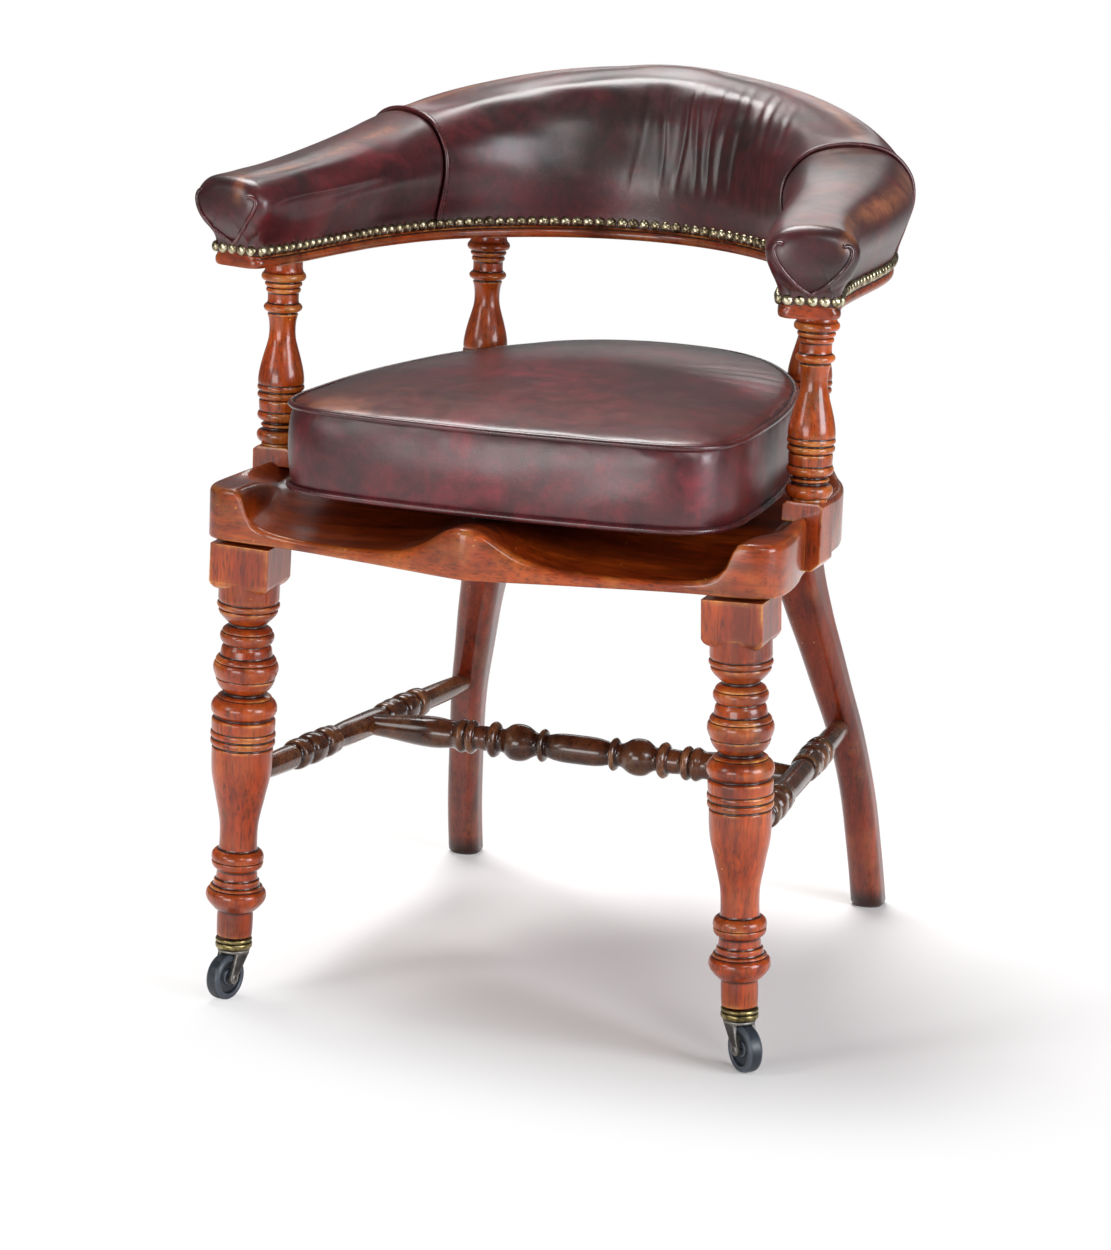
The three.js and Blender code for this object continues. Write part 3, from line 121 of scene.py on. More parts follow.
def cleared(owner):
    """The empty node tree of a material or a world."""
    owner.use_nodes = True
    owner.node_tree.nodes.clear()
    return owner.node_tree


scene.world = bpy.data.worlds.new("studio")
tree = cleared(scene.world)
rays = add(tree, "ShaderNodeLightPath").outputs
seen = calc(tree, "MAXIMUM", rays["Is Camera Ray"], rays["Is Transmission Ray"])
glossy = calc(tree, "MULTIPLY_ADD", rays["Is Glossy Ray"], mirrored_less, fill_light)
strength = calc(tree, "MAXIMUM", seen, glossy)
sky = add(tree, "ShaderNodeBackground", {"Color": (1, 1, 1, 1), "Strength": strength})
add(tree, "ShaderNodeOutputWorld", {0: sky.outputs[0]})


# Floor. A white sheet that keeps the chair's shadow and fades into the white around it, so
# that the ground shows no edge.
floor_size = 9.0
shadow_middle, shadow_squash, shadow_reach = (-0.15, -0.09, 0), (1.0, 1.5, 1.0), (0.3, 0.74)

bpy.ops.mesh.primitive_plane_add(size=floor_size)
floor = bpy.context.object
floor.name = "floor"
paper = bpy.data.materials.new("white_sheet")
tree = cleared(paper)
seen = add(tree, "ShaderNodeLightPath").outputs["Is Camera Ray"]
spot = add(tree, "ShaderNodeTexCoord").outputs["Object"]
spot = add(tree, "ShaderNodeMapping", {"Vector": spot, "Location": shadow_middle, "Scale": shadow_squash})
distance = add(tree, "ShaderNodeVectorMath", {0: spot.outputs[0]}, operation="LENGTH").outputs["Value"]
fade = add(tree, "ShaderNodeMapRange", {
    "Value": distance, "From Min": shadow_reach[0], "From Max": shadow_reach[1],
}, interpolation_type="SMOOTHSTEP").outputs[0]
matt = add(tree, "ShaderNodeBsdfDiffuse", {"Color": (0.86, 0.85, 0.84, 1)})
white = add(tree, "ShaderNodeEmission", {"Color": (1, 1, 1, 1), "Strength": 1.0})
blend = add(tree, "ShaderNodeMixShader", {
    0: calc(tree, "MULTIPLY", fade, seen), 1: matt.outputs[0], 2: white.outputs[0],
})
add(tree, "ShaderNodeOutputMaterial", {0: blend.outputs[0]})
floor.data.materials.append(paper)


# Seat. A saddle plank of solid mahogany, 47 mm at its rim, hollowed into a dish with two thigh
# scoops beside a pommel. It leans back 1.8 degrees with all that stands on it.
lean = math.radians(1.8)
STANDING = Matrix.Scale(0.001, 4) @ Matrix.Translation((0, 26, 0))
LEANING = STANDING @ Matrix.Rotation(-lean, 4, "X")
seat_bottom = 383
seat_half, seat_front, seat_back, seat_middle = 243, 315, 207, 50
ear_thickness, rim_thickness, dish_thickness, pommel_thickness = 43, 47, 31, 41
ear_start, ear_run, rim_start = 0.825, 0.06, 0.86
scoop_reach, scoop_rows = 170, -200
spindle_front = 139.5
seat_rounding, under_rounding = 5.5, 2.5
seat_shares = [
    (0, -1), (0.075, -0.987), (0.165, -0.968), (0.31, -0.937), (0.45, -0.91), (0.605, -0.88),
    (0.74, -0.86), (0.86, -0.852), (0.94, -0.84), (0.978, -0.82), (0.996, -0.79), (1, -0.72),
    (0.985, -0.61), (0.96, -0.51), (0.948, -0.41), (0.942, -0.3), (0.938, -0.2), (0.926, -0.1),
    (0.89, 0.01), (0.832, 0.165), (0.782, 0.31), (0.741, 0.445), (0.704, 0.58), (0.667, 0.705),
    (0.617, 0.81), (0.535, 0.9), (0.41, 0.957), (0.25, 0.99), (0.1, 1), (0, 1),
]
front_edge_shares = [
    (0, 1), (0.02, 0.995), (0.05, 0.945), (0.08, 0.86), (0.13, 0.66), (0.18, 0.49), (0.24, 0.37),
    (0.31, 0.3), (0.44, 0.235), (0.6, 0.215), (0.7, 0.24), (0.77, 0.31), (0.81, 0.42), (0.84, 0.62),
    (0.862, 0.86), (0.885, 1.0), (1, 1.05),
]


def curve_through(points, steps):
    """Points of a smooth line through given ones."""
    points = np.array(points, float)
    rows = []
    for i in range(len(points) - 1):
        b, c = points[i], points[i + 1]
        a = points[i - 1] if i else 2 * b - c
        d = points[i + 2] if i + 2 < len(points) else 2 * c - b
        ab, bc, cd = (max(np.linalg.norm(v), 1e-9) ** 0.5 for v in (b - a, c - b, d - c))
        m1 = (c - b) + bc * ((b - a) / ab - (c - a) / (ab + bc))
        m2 = (c - b) + bc * ((d - c) / cd - (d - b) / (bc + cd))
        for t in np.arange(steps) / steps:
            rows.append(
                (2 * t**3 - 3 * t**2 + 1) * b + (t**3 - 2 * t**2 + t) * m1
                + (3 * t**2 - 2 * t**3) * c + (t**3 - t**2) * m2
            )
    return np.array(rows + [points[-1]])


def smooth(value):
    """0 below 0, 1 above 1, and an even rise between."""
    value = np.clip(value, 0, 1)
    return value * value * (3 - 2 * value)


def mix(a, b, share):
    return a + (b - a) * share


def unit(rows):
    return rows / np.linalg.norm(rows, axis=-1, keepdims=True)


def plan_through(shares, half, front, back):
    """Right half of an outline in plan, and the whole, from shares of its reaches."""
    right = curve_through([(x * half, y * (front if y < 0 else back)) for x, y in shares], 5)
    return right, np.vstack([right, right[-2:0:-1] * (-1, 1)])


centre = np.array((0, -seat_middle))
right_plan, seat_plan = plan_through(seat_shares, seat_half, seat_front, seat_back)
front_rows = right_plan[right_plan[:, 1] < scoop_rows]
front_edge = curve_through(front_edge_shares, 6)


def seat_top(x, y, reach):
    """Height of the seat's top at a place that lies at a share of the way to the rim."""
    across = np.abs(x) / seat_half
    rim = smooth((reach - rim_start) / (1 - rim_start))
    back = mix(dish_thickness, rim_thickness, rim)
    scoop = np.interp(across, front_edge[:, 0], front_edge[:, 1]) * pommel_thickness
    edge = -np.interp(np.abs(x), front_rows[:, 0], front_rows[:, 1])
    forward = smooth((scoop_reach - seat_front - y) / (scoop_reach - (seat_front - edge)))
    side = mix(ear_thickness, rim_thickness, rim * smooth((y + spindle_front) / scoop_reach))
    ear = smooth((across - ear_start) / ear_run)
    return seat_bottom + mix(mix(back, scoop, forward), side, ear * forward)


def solid_of(rings, poles=()):
    """Mesh over rings of equal count, each end closed by a pole point or by one flat face."""
    count = len(rings[0])
    points = np.vstack([np.asarray(ring, float) for ring in rings])
    faces = []
    for start in range(0, (len(rings) - 1) * count, count):
        for k in range(count):
            here, after = start + k, start + (k + 1) % count
            faces.append((here, after, after + count, here + count))
    for end, start in enumerate((0, (len(rings) - 1) * count)):
        ring = [start + k for k in range(count)]
        if len(poles) > end:
            points = np.vstack([points, poles[end]])
            faces += [(ring[k], ring[(k + 1) % count], len(points) - 1) for k in range(count)]
        else:
            faces.append(tuple(ring))
    mesh = bpy.data.meshes.new("solid")
    mesh.from_pydata([tuple(p) for p in points], [], faces)
    return mesh


def opened(*meshes):
    """Several meshes together, open to be worked on."""
    work = bmesh.new()
    for mesh in meshes:
        work.from_mesh(mesh)
    return work


def closed(work, mesh=None):
    """The worked mesh, written over a given one or as a new one."""
    mesh = mesh or bpy.data.meshes.new("worked")
    work.to_mesh(mesh)
    work.free()
    return mesh


def tidy(mesh, merge=1e-6):
    """Doubles merged and faces turned outwards."""
    work = opened(mesh)
    bmesh.ops.remove_doubles(work, verts=work.verts, dist=merge)
    bmesh.ops.recalc_face_normals(work, faces=work.faces)
    return closed(work, mesh)


def rows_of(mesh, what="co"):
    """Place (co) or normal of each vertex."""
    rows = np.empty(len(mesh.vertices) * 3)
    mesh.vertices.foreach_get(what, rows)
    return rows.reshape(-1, 3)


def edges_both_ways(mesh):
    edge = np.empty(len(mesh.edges) * 2, int)
    mesh.edges.foreach_get("vertices", edge)
    edge = edge.reshape(-1, 2)
    return np.vstack([edge, edge[:, ::-1]])


def evened(rows, both, passes):
    """Values of each vertex, drawn half way to their neighbours' mean in each pass."""
    degree = np.maximum(np.bincount(both[:, 0], minlength=len(rows)), 1)
    for _ in range(passes):
        near = [np.bincount(both[:, 0], column[both[:, 1]], len(rows)) / degree for column in rows.T]
        rows = 0.5 * rows + 0.5 * np.column_stack(near)
    return rows


def set_float(mesh, name, values):
    attribute = mesh.attributes.get(name) or mesh.attributes.new(name, "FLOAT", "POINT")
    attribute.data.foreach_set("value", np.asarray(values, np.float32))


def mark_wear_and_shade(mesh, passes=2, tight=190):
    """Attributes for the finish: rubbed on what stands out, grime and painted shade in what lies deep."""
    place, normal, both = rows_of(mesh), rows_of(mesh, "normal"), edges_both_ways(mesh)
    step = place[both[:, 1]] - place[both[:, 0]]
    bend = -(step * normal[both[:, 0]]).sum(1) / np.maximum((step**2).sum(1), 1e-9)
    degree = np.maximum(np.bincount(both[:, 0], minlength=len(place)), 1)
    bend = np.bincount(both[:, 0], bend, len(place)) / degree
    bend = evened(bend[:, None], both, passes)[:, 0]
    set_float(mesh, "rubbed", np.clip(bend / tight, 0, 1))
    # grime and painted shade: how far a place bends inwards, which the finishes darken
    set_float(mesh, "grime_and_shade", np.clip(-bend / tight, 0, 1))


def piece(name, mesh, place, finish, crisp, body, slot, *nodes):
    """A named piece, smooth up to an angle, that rides on a body and stands for some nodes."""
    mesh.transform(place)
    mesh.name = name
    tidy(mesh)
    mesh.shade_smooth()
    mesh.set_sharp_from_angle(angle=math.radians(crisp))
    mark_wear_and_shade(mesh)
    mesh.materials.clear()
    mesh.materials.append(finish)
    made = placed(name, mesh)
    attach(made, body)
    if nodes:
        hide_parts(*nodes)
    return made


def picked(sockets, name=None):
    """The socket in use, of that name if one is given."""
    return next(socket for socket in sockets if socket.enabled and name in (None, socket.name))


def ramp(tree, value, *stops):
    """Colours or greys over a value, from stops of place and colour."""
    node = add(tree, "ShaderNodeValToRGB", {"Fac": value})
    while len(node.color_ramp.elements) < len(stops):
        node.color_ramp.elements.new(0.5)
    for element, (place, colour) in zip(node.color_ramp.elements, stops):
        element.position = place
        element.color = (*colour, 1) if isinstance(colour, tuple) else (colour, colour, colour, 1)
    return node.outputs[0]


def blended(tree, share, a, b, kind="MIX"):
    node = add(tree, "ShaderNodeMix", data_type="RGBA", blend_type=kind)
    for key, value in (("Factor", share), ("A", a), ("B", b)):
        socket = picked(node.inputs, key)
        if isinstance(value, bpy.types.NodeSocket):
            tree.links.new(value, socket)
        else:
            socket.default_value = (*value, 1) if isinstance(value, tuple) else value
    return picked(node.outputs)


def noised(tree, vector, scale, detail=4.0, rough=0.55, distortion=0.0):
    return add(tree, "ShaderNodeTexNoise", {
        "Vector": vector, "Scale": scale, "Detail": detail, "Roughness": rough, "Distortion": distortion,
    }).outputs["Fac"]


def cells(tree, vector, scale, **settings):
    node = add(tree, "ShaderNodeTexVoronoi", {"Vector": vector, "Scale": scale}, **settings)
    return node.outputs["Distance"]


def marked(tree, name):
    return add(tree, "ShaderNodeAttribute", attribute_name=name).outputs["Fac"]


def spread(tree, value, low, high):
    return add(tree, "ShaderNodeMapRange", {"Value": value, "To Min": low, "To Max": high}).outputs[0]


def new_finish(name):
    """A material, its empty node tree, and the place of a point in its object."""
    finish = bpy.data.materials.new(name)
    tree = cleared(finish)
    return finish, tree, add(tree, "ShaderNodeTexCoord").outputs["Object"]


def surface(tree, layers, **sockets):
    """The shader from its sockets, over layers of relief: height, strength and depth."""
    given = {key.replace("_", " "): value for key, value in sockets.items()}
    for height, strength, depth in layers:
        relief = {"Height": height, "Strength": strength, "Distance": depth}
        if "Normal" in given:
            relief["Normal"] = given["Normal"]
        given["Normal"] = add(tree, "ShaderNodeBump", relief).outputs[0]
    shader = add(tree, "ShaderNodeBsdfPrincipled", given)
    add(tree, "ShaderNodeOutputMaterial", {0: shader.outputs[0]})


def mahogany(name, grain, dark, mid, light, rubbed, gloss=0.3):
    """French-polished mahogany: streaked figure along the grain, pores, rubbed arrises, dark polish and
    painted shade in the hollows.
    """
    finish, tree, where = new_finish(name)
    along = add(tree, "ShaderNodeMapping", {"Vector": where, "Scale": grain}).outputs[0]
    streak = noised(tree, along, 150, 4, 0.65, 0.3)
    pore = noised(tree, along, 620, 2, 0.5)
    tone = ramp(tree, noised(tree, along, 24, 5, 0.6, 1.2), (0.3, dark), (0.5, mid), (0.72, light))
    tone = blended(tree, 0.7, tone, ramp(tree, streak, (0.34, 0.3), (0.62, 1.0)), "MULTIPLY")
    tone = blended(tree, 0.7, tone, ramp(tree, pore, (0.34, 0.22), (0.47, 1.0)), "MULTIPLY")
    patch = noised(tree, where, 14, 3, 0.5)
    tone = blended(tree, ramp(tree, patch, (0.5, 0.0), (0.75, 0.45)), tone, light)
    stain = noised(tree, along, 20, 5, 0.7, 0.5)
    tone = blended(tree, ramp(tree, stain, (0.48, 0.0), (0.7, 0.6)), tone, dark)
    speckle = noised(tree, where, 130, 4, 0.7)
    chip = noised(tree, where, 32, 3, 0.6)
    bare = calc(tree, "MULTIPLY", marked(tree, "rubbed"), ramp(tree, chip, (0.46, 0.1), (0.62, 1.0)))
    bare = calc(tree, "MULTIPLY", bare, ramp(tree, speckle, (0.35, 0.35), (0.6, 1.0)))
    tone = blended(tree, bare, tone, rubbed)
    nick = calc(tree, "LESS_THAN", cells(tree, where, 95.0), 0.075)
    nick = calc(tree, "MULTIPLY", nick, ramp(tree, chip, (0.55, 0.0), (0.6, 0.8)))
    tone = blended(tree, nick, tone, rubbed)
    # painted shade: hollows and grooves darkened near black, partly dark polish gathered in them
    deep = ramp(tree, marked(tree, "grime_and_shade"), (0.06, 0.0), (0.42, 0.94))
    tone = blended(tree, deep, tone, (0.016, 0.005, 0.003))
    shine = calc(tree, "MULTIPLY_ADD", bare, 0.25, spread(tree, speckle, gloss - 0.07, gloss + 0.12))
    surface(
        tree, [(streak, 0.1, 0.0004), (pore, 0.12, 0.0002)], Base_Color=tone, Roughness=shine,
        Coat_Weight=0.45, Coat_Roughness=0.1, Specular_IOR_Level=0.36,
    )
    return finish


seat_wood = mahogany(
    "seat_mahogany", (0.12, 1, 1), (0.09, 0.01, 0.002), (0.28, 0.033, 0.003), (0.5, 0.084, 0.006),
    (0.68, 0.26, 0.05),
)
seat_rings = []
for reach in np.concatenate([np.linspace(0.04, 0.8, 26), np.linspace(0.815, 0.965, 18)]):
    plan = centre + (seat_plan - centre) * reach
    seat_rings.append(np.column_stack([plan, seat_top(*plan.T, reach)]))
edge_round = np.minimum(seat_rounding, (seat_top(*seat_plan.T, 1.0) - seat_bottom) * 0.45)
outward = unit(seat_plan - centre)
for angle in np.linspace(0, math.pi / 2, 7):
    plan = seat_plan - outward * (edge_round * (1 - math.sin(angle)))[:, None]
    reach = np.linalg.norm(plan - centre, axis=1) / np.linalg.norm(seat_plan - centre, axis=1)
    height = seat_top(*plan.T, reach) - edge_round * (1 - math.cos(angle))
    seat_rings.append(np.column_stack([plan, height]))
for angle in np.linspace(0, math.pi / 2, 4):
    height = np.full(len(seat_plan), seat_bottom + under_rounding * (1 - math.sin(angle)))
    plan = seat_plan - outward * (under_rounding * (1 - math.cos(angle)))
    seat_rings.append(np.column_stack([plan, height]))
poles = [(*centre, seat_top(*centre, 0)), (*centre, seat_bottom)]
piece("seat_plank", solid_of(seat_rings, poles), LEANING, seat_wood, 50, "chair", "mahogany", "seat")


# Front legs. Turned from 54 mm mahogany below a square block, each with rings and grooves cut
# by the turner's chisels, and splayed a little outwards.
leg_span, leg_front, leg_splay = 220.9, 230, math.radians(1.88)
leg_profile = [
    (53.2, 12.6), (53.2, 14.6), (60, 14.9), (70, 15.0), (75.6, 15.0), (76.2, 17.6), (77.4, 18.8),
    (80.5, 21.6), (84, 24.0), (87.4, 25.0), (90.6, 24.6), (92.4, 23.6), (93.2, 22.4), (93.8, 21.4),
    (94.8, 21.9), (96, 21.3), (96.6, 19.6), (97.3, 19.2), (99.5, 18.9), (101.2, 18.7),
    (102.2, 17.5), (106, 16.9), (110, 16.9), (111, 18.2), (112.6, 20.2), (115.4, 21.3),
    (117.2, 21.2), (117.9, 20.6), (118.6, 21.3), (121, 21.6), (124, 20.9), (126.4, 18.6),
    (127.4, 16.2), (130, 15.7), (143, 15.6), (151.3, 16.2), (160.3, 17.8), (169, 19.7),
    (177.3, 21.3), (186.3, 23.3), (194.3, 24.5), (203, 25.0), (211.8, 25.1), (214.6, 25.0),
    (215.6, 24.2), (216.6, 24.3), (217.4, 26.0), (219.5, 26.6), (221.6, 26.2), (222.4, 25.2),
    (223.4, 25.3), (224.2, 26.4), (226.2, 26.8), (228.2, 26.4), (229, 25.6), (230, 25.8),
    (236, 26.2), (238.6, 26.0), (239.6, 24.6), (240.6, 23.7), (242, 24.3), (244, 26.0), (247, 27.0),
    (250.6, 26.9), (254, 25.2), (256.2, 22.8), (256.9, 21.8), (257.6, 22.2), (258.8, 20.6),
    (259.4, 17.4), (260.6, 16.3), (262, 17.0), (263, 18.6), (266, 21.4), (270, 23.4), (272.6, 24.2),
    (273.4, 23.8), (274.2, 24.4), (278, 26.0), (281.6, 26.8), (284.6, 26.5), (286.6, 25.6),
    (287.3, 24.6), (288, 25.0), (290, 24.4), (291.6, 23.0), (292.4, 21.6), (294.6, 21.2),
    (299, 20.4), (301.4, 19.1), (302.2, 18.8), (303, 20.0), (306, 21.8), (309.4, 22.2),
    (311.6, 21.2), (312.2, 20.2), (313, 20.6), (315, 19.4), (316.6, 17.0), (317.8, 14.8),
    (319.4, 14.8), (320.6, 16.8), (323.6, 19.8), (326.8, 22.6), (329.6, 24.2), (331, 24.0),
    (331.8, 23.4), (332.6, 24.4), (334.4, 25.6), (336.6, 25.4), (337.8, 24.2), (338.6, 24.4),
    (340.4, 24.9), (344, 24.9), (349.4, 24.9), (360, 24.9),
]
leg_wood = mahogany(
    "leg_mahogany", (1, 1, 0.12), (0.11, 0.012, 0.002), (0.34, 0.036, 0.002), (0.56, 0.088, 0.005),
    (0.7, 0.3, 0.07),
)
block_corner, block_turns = 1.1, 4
# height and half width of the block, from its shoulder up
block_levels = [(349.5, 19.5), (351.1, 22.1), (353.5, 24.1), (356.5, 25.35), (388, 25.35)]


def node_group(name, output, **inputs):
    """An empty node group, its inputs given as named kinds, and their sockets."""
    tree = bpy.data.node_groups.new(name, "GeometryNodeTree")
    for label, kind in inputs.items():
        tree.interface.new_socket(label, in_out="INPUT", socket_type="NodeSocket" + kind)
    tree.interface.new_socket(output, in_out="OUTPUT", socket_type="NodeSocketGeometry")
    return tree, add(tree, "NodeGroupInput").outputs


def ended(tree, geometry, finish):
    """The group's end: its instances made real, with their finish."""
    real = add(tree, "GeometryNodeRealizeInstances", {0: geometry}).outputs[0]
    done = add(tree, "GeometryNodeSetMaterial", {"Geometry": real, "Material": finish}).outputs[0]
    add(tree, "NodeGroupOutput", {0: done})
    return tree


def turning_tree():
    """Turns a profile, given as a line of points with radius on X and height on Z, about Z."""
    tree, given = node_group("turning", "Turned", Profile="Geometry", Steps="Int", Finish="Material")
    size = add(tree, "GeometryNodeAttributeDomainSize", {0: given["Profile"]}, component="MESH")
    around = add(tree, "FunctionNodeIntegerMath", {0: given["Steps"], 1: 1}, operation="ADD").outputs[0]
    rows = size.outputs["Point Count"]
    grid = add(tree, "GeometryNodeMeshGrid", {"Vertices X": rows, "Vertices Y": around}).outputs["Mesh"]
    index = add(tree, "GeometryNodeInputIndex").outputs[0]
    row, step = (
        add(tree, "FunctionNodeIntegerMath", {0: index, 1: around}, operation=operation).outputs[0]
        for operation in ("DIVIDE_FLOOR", "MODULO")
    )
    sample = add(tree, "GeometryNodeSampleIndex", {
        "Geometry": given["Profile"], "Index": row,
    }, data_type="FLOAT_VECTOR")
    tree.links.new(add(tree, "GeometryNodeInputPosition").outputs[0], picked(sample.inputs, "Value"))
    point = add(tree, "ShaderNodeSeparateXYZ", {0: picked(sample.outputs)}).outputs
    turn = calc(tree, "MULTIPLY", calc(tree, "DIVIDE", step, given["Steps"]), 2 * math.pi)
    x, y = (calc(tree, "MULTIPLY", calc(tree, wave, turn), point["X"]) for wave in ("COSINE", "SINE"))
    spot = add(tree, "ShaderNodeCombineXYZ", {0: x, 1: y, 2: point["Z"]}).outputs[0]
    bent = add(tree, "GeometryNodeSetPosition", {"Geometry": grid, "Position": spot}).outputs[0]
    whole = add(tree, "GeometryNodeMergeByDistance", {"Geometry": bent, "Distance": 0.0005}).outputs[0]
    return ended(tree, whole, given["Finish"])


def evaluated(source):
    """Plain mesh of an object as its modifier leaves it; the object goes."""
    graph = bpy.context.evaluated_depsgraph_get()
    mesh = bpy.data.meshes.new_from_object(source.evaluated_get(graph), depsgraph=graph)
    bpy.data.objects.remove(source)
    return mesh


def made_by(tree, mesh, **given):
    """Mesh that a node group makes from a starting mesh and its named inputs."""
    source = placed("source", mesh)
    modifier = source.modifiers.new("made", "NODES")
    modifier.node_group = tree
    for item in tree.interface.items_tree:
        if item.item_type == "SOCKET" and item.in_out == "INPUT" and item.name.lower() in given:
            modifier[item.identifier] = given[item.name.lower()]
    return evaluated(source)


def line_mesh(points, loop=False):
    mesh = bpy.data.meshes.new("line")
    count = len(points)
    edges = [(i, (i + 1) % count) for i in range(count if loop else count - 1)]
    mesh.from_pydata([tuple(p) for p in points], edges, [])
    return mesh


TURNING = turning_tree()


def turned(profile, finish, steps=72, fine=3):
    """Turned solid from pairs of height and radius; a repeated height keeps a square shoulder."""
    runs = [[profile[0]]]
    for before, after in zip(profile, profile[1:]):
        if abs(after[0] - before[0]) < 1e-6:
            runs.append([])
        runs[-1].append(after)
    points = [(0, profile[0][0])]
    for run in runs:
        points += [(radius, height) for height, radius in (curve_through(run, fine) if len(run) > 2 else run)]
    points.append((0, profile[-1][0]))
    line = line_mesh([(radius, 0, height) for radius, height in points])
    return made_by(TURNING, line, steps=steps, finish=finish)


def joined(*parts):
    """One mesh out of several."""
    return closed(opened(*parts))


def square_ring(half, rounding, turns, middle=(0, 0, 0), flats=()):
    """Ring of a square post with rounded corners, about its middle."""
    corner = half - rounding
    quarter = [(half, corner * share) for share in flats]
    for turn in np.linspace(0, math.pi / 2, turns):
        quarter.append((corner + rounding * math.cos(turn), corner + rounding * math.sin(turn)))
    ring = []
    for c, s in ((1, 0), (0, 1), (-1, 0), (0, -1)):
        ring += [(middle[0] + x * c - y * s, middle[1] + x * s + y * c, middle[2]) for x, y in quarter]
    return ring


def gridded(mesh, spacing=3.0):
    """Flat faces cut into a grid, so that wear keeps to their edges."""
    work = opened(mesh)
    for axis in range(3):
        along = Vector([float(k == axis) for k in range(3)])
        reach = [v.co[axis] for v in work.verts]
        for place in np.arange(min(reach) + spacing / 2, max(reach), spacing):
            whole = work.verts[:] + work.edges[:] + work.faces[:]
            bmesh.ops.bisect_plane(work, geom=whole, plane_co=along * place, plane_no=along)
    return closed(work, mesh)


for side_name, side in SIDES:
    stand = STANDING @ Matrix.Translation((side * leg_span, -leg_front, 0))
    stand = stand @ Matrix.Rotation(-side * leg_splay, 4, "Y")
    block = [square_ring(half, block_corner, block_turns, (0, 0, height)) for height, half in block_levels]
    leg = joined(turned(leg_profile, leg_wood), gridded(solid_of(block)))
    piece(f"turned_leg_{side_name}", leg, stand, leg_wood, 48, "chair", "mahogany", f"front_leg_{side_name}")


# Rear legs. Plain sabre legs sawn from a plank, square at the seat and well rounded below,
# that sweep out and back. They have no castors, and are coloured darker just above the floor.
rear_foot, rear_top, rear_height, rear_end = (191, 237), (137, 128), 390, 384
rear_width, rear_rounding = (29, 38), (10.5, 3.5)
foot_rounding, foot_run, foot_heights = 2.2, 4.2, [0, 0.8, 2.2, 4.2]
foot_dark_top, foot_dark_run, foot_dark_depth = 0.019, 0.008, 0.4
sabre_shares = [
    (0, 0, 0), (0.07, 0.02, 0.06), (0.14, 0.05, 0.12), (0.27, 0.13, 0.22), (0.42, 0.28, 0.385),
    (0.54, 0.47, 0.53), (0.64, 0.63, 0.65), (0.72, 0.77, 0.74), (0.84, 0.92, 0.88), (1, 1, 1),
]
rear_wood = mahogany(
    "rear_leg_mahogany", (1, 1, 0.1), (0.06, 0.007, 0.002), (0.17, 0.017, 0.003), (0.29, 0.036, 0.006),
    (0.42, 0.18, 0.07),
)
sabre = curve_through(sabre_shares, 6)


def sabre_at(height, side):
    """Middle of a rear leg at a height."""
    inward, forward = (np.interp(height / rear_height, sabre[:, 0], sabre[:, k]) for k in (1, 2))
    x, y = mix(rear_foot[0], rear_top[0], inward), mix(rear_foot[1], rear_top[1], forward)
    return np.array((side * x, y, height))


for side_name, side in SIDES:
    rings = []
    for height in np.concatenate([foot_heights, np.linspace(8, rear_end, 56)]):
        half = mix(*rear_width, smooth((height / rear_height - 0.3) / 0.6)) / 2
        half -= foot_rounding * (1 - min(height / foot_run, 1)) ** 2
        rounding = mix(*rear_rounding, smooth((height - 250) / 110))
        rings.append(square_ring(half, rounding, 7, sabre_at(height, side), (-0.7, -0.35, 0, 0.35, 0.7)))
    leg = piece(
        f"sabre_leg_{side_name}", solid_of(rings), STANDING, rear_wood, 38, "chair", "mahogany",
        f"rear_leg_{side_name}",
    )
    # the feet are coloured darker just above the floor
    set_float(leg.data, "grime_and_shade", foot_dark_depth * smooth((foot_dark_top - rows_of(leg.data)[:, 2]) / foot_dark_run))


# Stretchers. Three dark turned bars in an H: the side ones carry two groups of rings each, the
# cross bar a row of balls and rings on both sides of its barrel.
stretcher_height = 180
side_radius, cross_radius, cross_place = 13, 16, 0.53
side_shares = [
    (0, 0.56), (0.04, 0.6), (0.07, 0.66), (0.13, 0.76), (0.19, 0.8), (0.203, 0.78), (0.207, 0.7),
    (0.213, 0.72), (0.218, 0.94), (0.232, 1.0), (0.247, 0.94), (0.252, 0.74), (0.262, 0.72),
    (0.268, 0.94), (0.288, 1.04), (0.31, 0.94), (0.315, 0.74), (0.324, 0.72), (0.33, 0.92),
    (0.345, 1.0), (0.36, 0.95), (0.375, 0.93), (0.382, 0.78), (0.392, 0.76), (0.43, 0.82),
    (0.5, 0.84), (0.57, 0.82), (0.587, 0.76), (0.593, 0.74), (0.6, 0.92), (0.62, 0.95), (0.64, 1.0),
    (0.652, 0.94), (0.657, 0.74), (0.667, 0.72), (0.672, 0.94), (0.692, 1.04), (0.712, 0.94),
    (0.717, 0.74), (0.727, 0.72), (0.732, 0.94), (0.748, 1.0), (0.762, 0.94), (0.767, 0.78),
    (0.78, 0.76), (0.87, 0.73), (0.94, 0.66), (1, 0.6),
]
cross_shares = [
    (0, 0.78), (0.07, 0.77), (0.11, 0.71), (0.14, 0.62), (0.15, 0.6), (0.155, 0.8), (0.166, 0.89),
    (0.177, 0.8), (0.184, 0.64), (0.2, 0.63), (0.215, 0.72), (0.245, 0.93), (0.28, 1.0),
    (0.313, 0.93), (0.338, 0.72), (0.35, 0.64), (0.368, 0.64), (0.378, 0.86), (0.395, 0.97),
    (0.41, 0.86), (0.418, 0.68), (0.44, 0.66), (0.478, 0.66), (0.487, 0.82), (0.502, 0.92),
    (0.516, 0.82), (0.522, 0.74), (0.53, 0.82), (0.545, 0.91), (0.56, 0.84), (0.575, 0.74),
    (0.6, 0.74), (0.66, 0.83), (0.72, 0.83), (0.78, 0.78), (0.9, 0.62), (0.99, 0.54),
]
